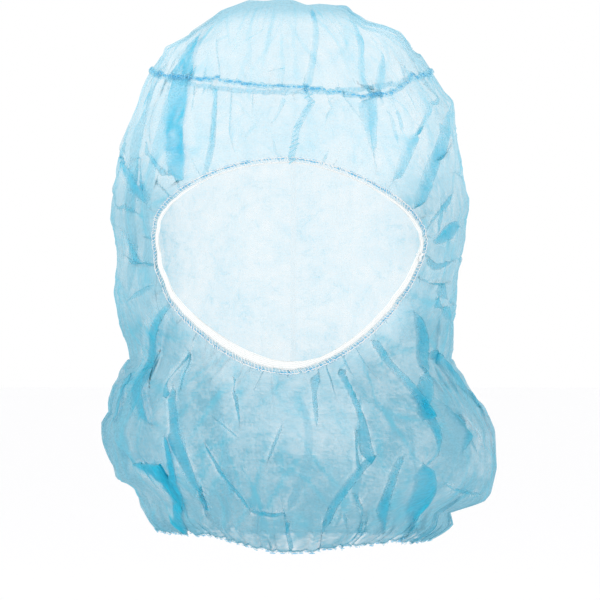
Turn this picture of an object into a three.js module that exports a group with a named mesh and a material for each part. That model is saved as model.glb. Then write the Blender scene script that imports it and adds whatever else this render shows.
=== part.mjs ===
// A disposable hood of thin spunbond cloth, in the form it takes on a head. It is made of a crown
// panel gathered onto a wrapped body, the two seams that join them, the elastic round the face
// opening and the gathered hem round the neck.
// Millimetres. +X is the wearer's left, -Y is the way the face looks and +Z is up. The origin is
// the point under the crown where the top of the head bears.

import * as THREE from "three";

// Driving dimensions.
const WALL = 1.2; // thickness of the cloth walls
const GAP = 0.3; // clearance between sewn pieces
const AROUND = 88; // columns of a wall, once round
const FACE_COLUMNS = 30; // how many of them cross the face opening
const CROWN_ROWS = 6;
const BROW_ROWS = 5; // from the crown seam to the level of the opening's corners
const CHIN_ROWS = 11; // from there to the neck
const ROUNDNESS = 2.25; // power of the superellipse of a level section
const EASE = 0.35; // how freely the curve through the sections turns at each of them
const CROWN_TOP = 0.7; // place along the sections of the crown's smallest ring
const CROWN_CROWDING = 0.9; // power below 1: the crown's rings crowd towards the top
const CALM_TOP = { from: 0.6, to: 2.2 }; // sections between which folds grow in

// Level sections from the top of the crown to the neck: how far the cloth stands out from the
// centre line to the wearer's right (-X), left (+X), front (-Y) and back (+Y).
const SECTIONS = [
  { z: WALL, right: 0, left: 0, front: 0, back: 0 },
  { z: 0.7, right: 23, left: 20, front: 25, back: 30 },
  { z: -3, right: 36, left: 34, front: 42, back: 50 },
  { z: -10, right: 47, left: 48, front: 58, back: 67 },
  { z: -20, right: 57, left: 59, front: 70, back: 80 },
  { z: -29, right: 64, left: 65, front: 78, back: 89 },
  { z: -41, right: 70, left: 71, front: 86, back: 97 },
  { z: -52, right: 76, left: 79, front: 91, back: 102 },
  { z: -64, right: 82, left: 83, front: 95, back: 106 },
  { z: -78, right: 86, left: 85, front: 97, back: 109 },
  { z: -103, right: 89, left: 89, front: 98, back: 112 },
  { z: -121, right: 86, left: 86, front: 97, back: 111 },
  { z: -148, right: 86, left: 83, front: 95, back: 108 },
  { z: -168, right: 80, left: 81, front: 94, back: 104 },
  { z: -178, right: 80, left: 80, front: 94, back: 103 },
  { z: -190, right: 88, left: 88, front: 94, back: 103 },
  { z: -212, right: 93, left: 100, front: 92, back: 103 },
  { z: -235, right: 87, left: 101, front: 86, back: 98 },
  { z: -247, right: 74, left: 90, front: 78, back: 88 },
  { z: -257, right: 69, left: 80, front: 70, back: 77 },
  { z: -264, right: 62, left: 70, front: 62, back: 66 },
];
const SEAM_SECTION = 6; // the section that the crown seam follows
const HEM_SECTION = SECTIONS.length - 1;

// How much higher than its section the crown seam and the hem run, by angle from the front.
const EDGE_RISE = [
  { angle: 0, seam: -4, hem: -3 },
  { angle: 28, seam: -8, hem: -1 },
  { angle: 50, seam: 5, hem: 0 },
  { angle: 90, seam: 8, hem: 2 },
  { angle: 180, seam: 2, hem: 4 },
  { angle: 270, seam: 8, hem: 0 },
  { angle: 320, seam: 1, hem: 0 },
  { angle: 360, seam: -4, hem: -3 },
];
const SEAM_REACH = 3; // sections over which the seam's rise fades
const HEM_REACH = 4;

// The face opening as it is seen from the front: four quarters of superellipses, whose powers
// make its left corner (+X) the more pointed one.
const OPENING = {
  halfWidth: 64.5,
  cornerZ: -120,
  rise: 38.5,
  drop: 60.5,
  upperPower: { right: 2, left: 1.6 },
  lowerPower: { right: 1.87, left: 1.65 },
};

// The main folds: ridges (height above 0) and dents (below 0), each running from one height to
// another while its middle goes from one angle to the next. Angles turn from the front to +X.
const FOLDS = [
  { from: 0, to: -84, angle: 322, toAngle: 325, width: 6, height: 5 },
  { from: 0, to: -48, angle: 12, toAngle: 11, width: 4, height: 2.6 },
  { from: -18, to: -70, angle: 36, toAngle: 33, width: 5, height: 3.6 },
  { from: -44, to: -94, angle: 58, toAngle: 42, width: 5.5, height: 4 },
  { from: -52, to: -112, angle: 72, toAngle: 53, width: 6, height: 4 },
  { from: -48, to: -104, angle: 298, toAngle: 312, width: 5.5, height: 3.6 },
  { from: -104, to: -138, angle: 292, toAngle: 300, width: 6.5, height: -4 },
  { from: -112, to: -142, angle: 66, toAngle: 58, width: 6.5, height: -4.2 },
  { from: -186, to: -262, angle: 304, toAngle: 309, width: 7, height: -7.5 },
  { from: -172, to: -258, angle: 318, toAngle: 322, width: 5.5, height: 6 },
  { from: -184, to: -244, angle: 341, toAngle: 335, width: 6.5, height: 3.6 },
  { from: -184, to: -263, angle: 20, toAngle: 12, width: 6, height: 4.4 },
  { from: -178, to: -256, angle: 36, toAngle: 50, width: 6, height: 6.5 },
  { from: -198, to: -262, angle: 58, toAngle: 53, width: 7, height: -7 },
  { from: -62, to: -230, angle: 112, toAngle: 118, width: 8, height: -4.6 },
  { from: -98, to: -260, angle: 141, toAngle: 146, width: 8, height: 5.6 },
  { from: -46, to: -253, angle: 168, toAngle: 172, width: 8, height: -4.6 },
  { from: -76, to: -262, angle: 196, toAngle: 199, width: 8, height: 5.8 },
  { from: -56, to: -243, angle: 224, toAngle: 220, width: 8, height: -5 },
  { from: -100, to: -258, angle: 248, toAngle: 244, width: 8, height: 5.2 },
];

// Gathers: ripples that are strongest at a sewn edge and fade away from it.
const GATHERS = {
  seam: { count: 22, height: 1, fade: 14 },
  hem: { count: 17, height: 2, fade: 30 },
};

// Trim: sizes across and through each band.
const CROWN_SEAM = { across: 3, through: 1.4 };
const FOREHEAD_SEAM = {
  across: 3,
  through: 1.2,
  topAngle: 7,
  bottomAngle: 1,
  steps: 9,
  lift: 0.5, // clear of the gathered cloth under it
  inset: 0.02, // of a section, short of the opening's edge
};
const FACE_ELASTIC = { acrossTop: 3, acrossBottom: 4.5, through: 1.8 };
const NECK_HEM = { across: 4, through: 2.2 };

const COLOURS = { cloth: 0xa9d9ea, seam: 0x7fc8e3, elastic: 0xf2f4f3 };

const HALVINGS = 30; // steps of a search between two values
const NEARBY = 0.01; // sections to each side of a point that give its directions
const NEARBY_TURN = 0.2; // degrees to each side of it

const radians = THREE.MathUtils.degToRad;
const smooth = THREE.MathUtils.smoothstep;
const lerp = THREE.MathUtils.lerp;

// The value of a column of a table at a place along it, on a curve through its rows.
function curveThrough(rows, column, at) {
  const i = Math.min(rows.length - 2, Math.max(0, Math.floor(at)));
  const t = at - i;
  const value = (k) =>
    rows[Math.min(rows.length - 1, Math.max(0, k))][column];
  const [a, b, c, d] = [value(i - 1), value(i), value(i + 1), value(i + 2)];
  const slopeB = EASE * (c - a);
  const slopeC = EASE * (d - b);
  return (
    b * (2 * t ** 3 - 3 * t ** 2 + 1) +
    slopeB * (t ** 3 - 2 * t ** 2 + t) +
    c * (3 * t ** 2 - 2 * t ** 3) +
    slopeC * (t ** 3 - t ** 2)
  );
}

const section = (column, at) => curveThrough(SECTIONS, column, at);

// The place along the section table that has a given height.
function sectionAt(z) {
  let low = 0;
  let high = HEM_SECTION;
  for (let i = 0; i < HALVINGS; i++) {
    const middle = (low + high) / 2;
    if (section("z", middle) > z) low = middle;
    else high = middle;
  }
  return low;
}

function edgeRise(degrees, column) {
  const turn = ((degrees % 360) + 360) % 360;
  const i = EDGE_RISE.findIndex((row, k) => k > 0 && turn <= row.angle);
  const [a, b] = [EDGE_RISE[i - 1], EDGE_RISE[i]];
  return lerp(
    a[column],
    b[column],
    smooth(turn, a.angle, b.angle),
  );
}

// 1 at the middle, falling smoothly to 0 at a distance of 1 or more.
const bump = (distance) =>
  Math.abs(distance) < 1 ? (1 - distance * distance) ** 2 : 0;

const turned = (degrees) => ((((degrees + 180) % 360) + 360) % 360) - 180;

// How far the folds and gathers move the cloth out from its sections.
function foldHeight(degrees, z, at) {
  let height = 0;
  for (const fold of FOLDS) {
    const along = (z - fold.from) / (fold.to - fold.from);
    const middle = fold.angle + turned(fold.toAngle - fold.angle) * along;
    height +=
      fold.height *
      bump(2 * along - 1) *
      bump(turned(degrees - middle) / (2 * fold.width));
  }
  const ripple = (kind, from, shift) =>
    kind.height *
    Math.cos(radians(kind.count * degrees + shift)) *
    bump((z - from) / kind.fade);
  const seamZ = SECTIONS[SEAM_SECTION].z + edgeRise(degrees, "seam");
  const hemZ = SECTIONS[HEM_SECTION].z + edgeRise(degrees, "hem");
  height += ripple(GATHERS.seam, seamZ, 40 * Math.sin(radians(3 * degrees)));
  height += ripple(GATHERS.hem, hemZ, 60 * Math.sin(radians(2 * degrees)));
  return height * smooth(at, CALM_TOP.from, CALM_TOP.to);
}

// The cloth's outer face at an angle from the front and a place along the section table.
function cloth(degrees, at) {
  const angle = radians(degrees);
  const part = (value) =>
    Math.sign(value) * Math.abs(value) ** (2 / ROUNDNESS);
  const x = part(Math.sin(angle));
  const y = -part(Math.cos(angle));
  const seamShare = bump((at - SEAM_SECTION) / SEAM_REACH);
  const hemShare = bump((at - HEM_SECTION) / HEM_REACH);
  const z =
    section("z", at) +
    seamShare * edgeRise(degrees, "seam") +
    hemShare * edgeRise(degrees, "hem");
  const out = new THREE.Vector3(
    x * section(x > 0 ? "left" : "right", at),
    y * section(y > 0 ? "back" : "front", at),
    0,
  );
  const length = Math.max(out.length(), 1e-6);
  out.multiplyScalar(1 + foldHeight(degrees, z, at) / length);
  return out.setZ(z);
}

// The cloth's point and its outward, downward and sideways directions.
function frameAt(degrees, at) {
  const down = cloth(degrees, Math.min(HEM_SECTION, at + NEARBY)).sub(
    cloth(degrees, Math.max(NEARBY, at - NEARBY)),
  );
  const aside = cloth(degrees + NEARBY_TURN, at).sub(
    cloth(degrees - NEARBY_TURN, at),
  );
  down.normalize();
  aside.normalize();
  const normal = new THREE.Vector3().crossVectors(aside, down).negate();
  return { point: cloth(degrees, at), normal: normal.normalize(), down, aside };
}

// The angle from the front at which the opening has its corners.
function cornerAngle() {
  const at = sectionAt(OPENING.cornerZ);
  let low = 0;
  let high = 90;
  for (let i = 0; i < HALVINGS; i++) {
    const middle = (low + high) / 2;
    if (cloth(middle, at).x < OPENING.halfWidth) low = middle;
    else high = middle;
  }
  return low;
}
const CORNER = cornerAngle();

// The opening's upper or lower edge in its section-table place, by how far across it is (-1 to 1).
function openingEdge(across, upper) {
  const powers = upper ? OPENING.upperPower : OPENING.lowerPower;
  const power = across > 0 ? powers.left : powers.right;
  const share = Math.max(0, 1 - Math.abs(across) ** power) ** (1 / power);
  const z =
    OPENING.cornerZ + share * (upper ? OPENING.rise : -OPENING.drop);
  return sectionAt(z);
}

// Columns from one corner of the opening across it and on round the back, each with its angle.
// Those that cross the opening crowd towards its corners, where its edge turns fastest.
function columnList() {
  const columns = [];
  for (let i = 0; i < AROUND; i++) {
    if (i <= FACE_COLUMNS) {
      const across = -Math.cos((Math.PI * i) / FACE_COLUMNS);
      const corner = i === 0 || i === FACE_COLUMNS;
      columns.push({
        angle: degreesAcross(across),
        across,
        open: !corner,
        corner,
      });
    } else {
      const share = (i - FACE_COLUMNS) / (AROUND - FACE_COLUMNS);
      columns.push({
        angle: CORNER + share * (360 - 2 * CORNER),
        open: false,
      });
    }
  }
  return columns;
}

// The angle whose cloth stands at a share of the opening's half width.
function degreesAcross(across) {
  const full = Math.sin(radians(CORNER)) ** (2 / ROUNDNESS);
  const sine = (Math.abs(across) * full) ** (ROUNDNESS / 2);
  return (Math.sign(across) * Math.asin(sine) * 180) / Math.PI;
}

// A closed wall under a sheet of quads: its outer face, its inner face and its rims.
function wallOf(frames, quads) {
  const count = frames.length;
  const places = [
    ...frames.map((f) => f.point),
    ...frames.map((f) => f.point.clone().addScaledVector(f.normal, -WALL)),
  ];
  const triangles = [];
  const uses = new Map();
  for (const quad of quads) {
    const ring = quad.filter((v, i) => v !== quad[(i + 1) % quad.length]);
    for (let i = 1; i + 1 < ring.length; i++) {
      const [a, b, c] = [ring[0], ring[i], ring[i + 1]];
      triangles.push(a, b, c, a + count, c + count, b + count);
    }
    ring.forEach((a, i) => {
      const b = ring[(i + 1) % ring.length];
      if (!uses.delete(b + " " + a)) uses.set(a + " " + b, [a, b]);
    });
  }
  for (const [a, b] of uses.values())
    triangles.push(b, a, a + count, b, a + count, b + count);
  return indexed(places, triangles);
}

function indexed(places, triangles) {
  const geometry = new THREE.BufferGeometry();
  geometry.setFromPoints(places);
  geometry.setIndex(triangles);
  geometry.computeVertexNormals();
  return geometry;
}

// The body: one sheet wrapped round the head, with the face opening left in its front.
function bodyGeometry(columns, topAt) {
  const frames = [];
  const rows = BROW_ROWS + CHIN_ROWS;
  const add = (degrees, at) => frames.push(frameAt(degrees, at)) - 1;
  const middle = sectionAt(OPENING.cornerZ);
  const ids = columns.map(({ angle, across, open }) => {
    const upper = open ? openingEdge(across, true) : middle;
    const lower = open ? openingEdge(across, false) : middle;
    const above = [];
    const below = [];
    for (let r = 0; r <= BROW_ROWS; r++)
      above.push(add(angle, lerp(topAt, upper, r / BROW_ROWS)));
    for (let r = 0; r <= CHIN_ROWS; r++)
      below.push(
        open || r > 0
          ? add(angle, lerp(lower, HEM_SECTION, r / CHIN_ROWS))
          : above[BROW_ROWS],
      );
    return { above, below };
  });
  const quads = [];
  ids.forEach((here, i) => {
    const next = ids[(i + 1) % ids.length];
    for (let r = 0; r < rows; r++) {
      const [a, b, k] =
        r < BROW_ROWS
          ? [here.above, next.above, r]
          : [here.below, next.below, r - BROW_ROWS];
      quads.push([a[k], a[k + 1], b[k + 1], b[k]]);
    }
  });
  return wallOf(frames, quads);
}

// The crown: a dome from the crown seam up to the top, closed by one point.
function crownGeometry(columns, rimAt) {
  const frames = [];
  const add = (degrees, at) => frames.push(frameAt(degrees, at)) - 1;
  const rings = [];
  for (let r = 0; r < CROWN_ROWS; r++) {
    const share = (r / (CROWN_ROWS - 1)) ** CROWN_CROWDING;
    const at = lerp(rimAt, CROWN_TOP, share);
    rings.push(columns.map(({ angle }) => add(angle, at)));
  }
  const apex =
    frames.push({
      point: new THREE.Vector3(0, 0, SECTIONS[0].z),
      normal: new THREE.Vector3(0, 0, 1),
    }) - 1;
  const quads = [];
  columns.forEach((_, i) => {
    const j = (i + 1) % columns.length;
    for (let r = 0; r + 1 < CROWN_ROWS; r++)
      quads.push([rings[r + 1][i], rings[r][i], rings[r][j], rings[r + 1][j]]);
    quads.push([apex, rings[CROWN_ROWS - 1][i], rings[CROWN_ROWS - 1][j]]);
  });
  return wallOf(frames, quads);
}

// A band along a line: at each stop it reaches from near to far in one direction and is centred
// on a middle plane, thickest half way across. A closed band joins its last stop to its first.
function bandGeometry(stops, closed) {
  const side = 0.4; // share of the thickness left at the band's edges
  const profile = [
    [0, -side],
    [0.5, -1],
    [1, -side],
    [1, side],
    [0.5, 1],
    [0, side],
  ];
  const places = [];
  for (const stop of stops)
    for (const [share, lift] of profile)
      places.push(
        stop.start
          .clone()
          .addScaledVector(stop.across, lerp(stop.near, stop.far, share))
          .addScaledVector(
            stop.normal,
            stop.middle + (lift * stop.through) / 2,
          ),
      );
  const sides = profile.length;
  const triangles = [];
  const turns = closed ? stops.length : stops.length - 1;
  for (let i = 0; i < turns; i++) {
    const [a, b] = [i * sides, ((i + 1) % stops.length) * sides];
    for (let k = 0; k < sides; k++) {
      const next = (k + 1) % sides;
      triangles.push(a + k, b + next, a + next, a + k, b + k, b + next);
    }
  }
  if (!closed) {
    const last = (stops.length - 1) * sides;
    for (let k = 1; k + 1 < sides; k++) {
      triangles.push(0, k, k + 1);
      triangles.push(last, last + k + 1, last + k);
    }
  }
  return indexed(places, triangles);
}

// The overlocked seam round the crown, a low ridge on the outside of the joint.
function crownSeamStops(columns) {
  return columns.map(({ angle }) => {
    const { point, normal, down } = frameAt(angle, SEAM_SECTION);
    return {
      start: point,
      across: down,
      near: -CROWN_SEAM.across / 2,
      far: CROWN_SEAM.across / 2,
      normal,
      middle: GAP + CROWN_SEAM.through / 2,
      through: CROWN_SEAM.through,
    };
  });
}

// The short seam that closes the body above the face, on the outside of the cloth.
function foreheadSeamStops() {
  const size = FOREHEAD_SEAM;
  const start = sectionAt(
    cloth(size.topAngle, SEAM_SECTION).z - CROWN_SEAM.across / 2 - 2 * GAP,
  );
  const end = openingEdge(0, true) - size.inset;
  const stops = [];
  for (let i = 0; i < size.steps; i++) {
    const share = i / (size.steps - 1);
    const degrees = lerp(size.topAngle, size.bottomAngle, share);
    const { point, normal, aside } = frameAt(
      degrees,
      lerp(start, end, share),
    );
    stops.push({
      start: point,
      across: aside.clone().negate(),
      near: -size.across / 2,
      far: size.across / 2,
      normal,
      middle: size.lift + size.through / 2,
      through: size.through,
    });
  }
  return stops;
}

// The elastic round the face opening, in line with the wall and reaching in from its edge.
function faceElasticStops(columns) {
  const crossing = columns.filter((c) => c.open || c.corner);
  const edge = (c, upper) => frameAt(c.angle, openingEdge(c.across, upper));
  const loop = [
    ...crossing.slice(0, -1).map((c) => ({ ...edge(c, true), c })),
    ...crossing
      .slice(1)
      .reverse()
      .map((c) => ({ ...edge(c, false), c })),
  ];
  return loop.map(({ point, normal }, i) => {
    const before = loop[(i + loop.length - 1) % loop.length].point;
    const after = loop[(i + 1) % loop.length].point;
    const along = after.clone().sub(before).normalize();
    const inward = new THREE.Vector3().crossVectors(normal, along).negate();
    const low = smooth(
      -point.z,
      -OPENING.cornerZ - OPENING.rise / 2,
      -OPENING.cornerZ + OPENING.drop / 2,
    );
    return {
      start: point,
      across: inward.normalize(),
      near: GAP,
      far: GAP + lerp(FACE_ELASTIC.acrossTop, FACE_ELASTIC.acrossBottom, low),
      normal,
      middle: -WALL / 2,
      through: FACE_ELASTIC.through,
    };
  });
}

// The gathered hem round the neck, hanging in line with the wall above it.
function neckHemStops(columns) {
  return columns.map(({ angle }) => {
    const { point, normal, down } = frameAt(angle, HEM_SECTION);
    return {
      start: point,
      across: down,
      near: GAP,
      far: GAP + NECK_HEM.across,
      normal,
      middle: -WALL / 2,
      through: NECK_HEM.through,
    };
  });
}

function sewn(name, geometry, colour) {
  const material = new THREE.MeshStandardMaterial({
    color: colour,
    roughness: 0.85,
    metalness: 0,
    side: THREE.DoubleSide,
  });
  const mesh = new THREE.Mesh(geometry, material);
  mesh.name = name;
  return mesh;
}

const columns = columnList();
// Each cloth edge stops a gap short of the seam line, here as a share of one section.
const seamInset =
  GAP / (SECTIONS[SEAM_SECTION - 1].z - SECTIONS[SEAM_SECTION].z);
const hood = new THREE.Group();
hood.add(
  sewn(
    "crown_panel",
    crownGeometry(columns, SEAM_SECTION - seamInset),
    COLOURS.cloth,
  ),
  sewn(
    "hood_body",
    bodyGeometry(columns, SEAM_SECTION + seamInset),
    COLOURS.cloth,
  ),
  sewn("crown_seam", bandGeometry(crownSeamStops(columns), true), COLOURS.seam),
  sewn("forehead_seam", bandGeometry(foreheadSeamStops(), false), COLOURS.seam),
  sewn(
    "face_elastic",
    bandGeometry(faceElasticStops(columns), true),
    COLOURS.elastic,
  ),
  sewn("neck_hem", bandGeometry(neckHemStops(columns), true), COLOURS.seam),
);

export default hood;
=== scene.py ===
import math
import bpy
import numpy as np
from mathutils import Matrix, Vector


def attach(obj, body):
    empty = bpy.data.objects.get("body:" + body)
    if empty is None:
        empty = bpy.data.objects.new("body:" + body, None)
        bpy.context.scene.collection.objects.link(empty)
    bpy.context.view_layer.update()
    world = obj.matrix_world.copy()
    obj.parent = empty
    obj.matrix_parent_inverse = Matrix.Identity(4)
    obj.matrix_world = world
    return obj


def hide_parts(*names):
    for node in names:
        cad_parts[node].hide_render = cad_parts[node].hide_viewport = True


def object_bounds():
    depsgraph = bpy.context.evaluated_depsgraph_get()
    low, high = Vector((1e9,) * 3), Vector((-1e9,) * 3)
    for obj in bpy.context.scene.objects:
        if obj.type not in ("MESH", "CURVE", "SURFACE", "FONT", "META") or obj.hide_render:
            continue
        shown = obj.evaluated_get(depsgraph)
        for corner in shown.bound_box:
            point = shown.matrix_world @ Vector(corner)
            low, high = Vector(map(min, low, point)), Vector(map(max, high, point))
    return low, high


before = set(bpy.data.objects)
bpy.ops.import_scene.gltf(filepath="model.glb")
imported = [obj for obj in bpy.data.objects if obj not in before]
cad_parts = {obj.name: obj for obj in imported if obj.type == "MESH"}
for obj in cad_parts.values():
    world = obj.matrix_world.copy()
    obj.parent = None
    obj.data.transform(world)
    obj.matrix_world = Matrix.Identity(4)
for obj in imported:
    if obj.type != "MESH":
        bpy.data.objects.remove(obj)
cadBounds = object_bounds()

# The hood is drawn in millimetres in its own sheets and turned to metres when a mesh is made.
# Angles turn from the front towards the wearer's left (+X).
metre = 0.001
sheetPerDegree = 1.57  # millimetres of cloth round the head for each degree
lap = 360 * sheetPerDegree

form = {
    "roundness": 2.25,  # power of the superellipse of a level section
    "slope": 0.35,  # how far the line through a section follows its two neighbours
    "sideGrip": 8,  # the higher, the nearer to the two sides the outline's corners stay
    "seamAt": 6,  # the section the crown seam follows
    "seamReach": 3,  # sections either way that the seam and the hem draw along
    "hemReach": 4,
    "columns": ("z", "right", "left", "front", "back"),
    "sections": [
        (1.2, 0, 0, 0, 0),
        (0.7, 23, 11, 25, 30),
        (-3, 36, 31, 42, 50),
        (-10, 46, 43, 58, 67),
        (-20, 57, 59, 70, 80),
        (-29, 64, 65, 78, 89),
        (-41, 70, 71, 86, 97),
        (-52, 76, 79, 91, 102),
        (-64, 82, 83, 95, 106),
        (-78, 86, 85, 97, 109),
        (-103, 89, 89, 98, 112),
        (-121, 86, 86, 97, 111),
        (-148, 86, 83, 95, 108),
        (-168, 80, 81, 94, 104),
        (-178, 80, 80, 94, 103),
        (-190, 88, 88, 94, 103),
        (-212, 93, 100, 92, 103),
        (-235, 83, 99, 86, 98),
        (-247, 72, 86, 78, 88),
        (-257, 69, 80, 70, 77),
        (-264, 58, 66, 62, 66),
    ],
    "edgeRise": [  # how much higher than its section the crown seam and the hem run, by angle
        (0, -4, -5.6),
        (28, -8, -2.6),
        (43, -6, -2),
        (60, 3.5, -2),
        (90, 8, -2),
        (180, 2, -3),
        (270, 8, 2.6),
        (320, 1, 1.6),
        (360, -4, -5.6),
    ],
    # the corners of the outline seen from the front: height, and how far out the side is there
    "outline": {
        "right": [
            (1.2, 0), (0.9, 20), (-4.8, 34.5), (-8, 38), (-15, 50), (-17, 51), (-21.5, 62),
            (-25.5, 63), (-33, 68.5), (-39, 72), (-51, 76.5), (-63, 81.5), (-72, 85), (-80, 85.5),
            (-94, 88.5), (-108, 89), (-117, 86.5), (-129, 86), (-144, 86.5), (-159, 84), (-178, 78.5),
            (-191, 87), (-204, 89), (-209, 92.5), (-217, 92), (-230, 88.5), (-236, 87), (-237.5, 82),
            (-240.5, 77), (-250, 73.5), (-258, 69.5), (-263, 65),
        ],
        "left": [
            (1.2, 0), (0, 6), (-1.2, 22), (-1.8, 28), (-5.6, 31), (-8, 35), (-10, 37.5), (-11.5, 48),
            (-14.5, 55), (-20, 59), (-24, 61.5), (-28, 66), (-33, 69.5), (-44, 76.5), (-49, 81.5),
            (-55, 82.5), (-61, 82), (-71, 84), (-88, 86), (-97, 88.5), (-103, 88.5), (-107, 86.5),
            (-118, 87.5), (-128, 85), (-137, 83), (-147, 83), (-158, 81), (-172, 81), (-177, 79.5),
            (-189, 86), (-201, 94), (-213, 100.5), (-231, 102), (-244, 100), (-247.5, 97), (-250, 86.5),
            (-252, 79), (-259, 81), (-263, 75.5), (-266, 70),
        ],
    },
}
hemAt = len(form["sections"]) - 1
seamLevel = form["sections"][form["seamAt"]][0]
hemLevel = form["sections"][hemAt][0]

opening = {
    "halfWidth": 64.5,
    "cornerZ": -120,
    "rise": 38.5,
    "drop": 60.5,
    "upperPower": {"right": 2, "left": 1.6},
    "lowerPower": {"right": 1.87, "left": 1.65},
}
openingMiddle = opening["cornerZ"] - 8


def fold(start, middle, end, width, ratio, ends=(0.2, 0.2), lift=None, pressed=0, level=False, sewn=False):
    # The middle line runs through three places (angle, z), width is in millimetres at them, and
    # ends are the shares of the way over which the fold opens and closes. Where ratio is above
    # 0.6 the cloth is laid back over itself, and at 1.9 the strip of three layers is about twice
    # width across. A pressed fold lies tight, a level one is drawn sideways only, so that a seam
    # runs straight through it, and a sewn one starts at full depth in its seam.
    if lift is None:
        lift = 0.4 + 0.14 * max(width)
    return {"path": (start, middle, end), "width": width, "ratio": ratio, "ends": ends,
            "lift": lift, "pressed": pressed, "level": level, "sewn": sewn}


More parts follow.
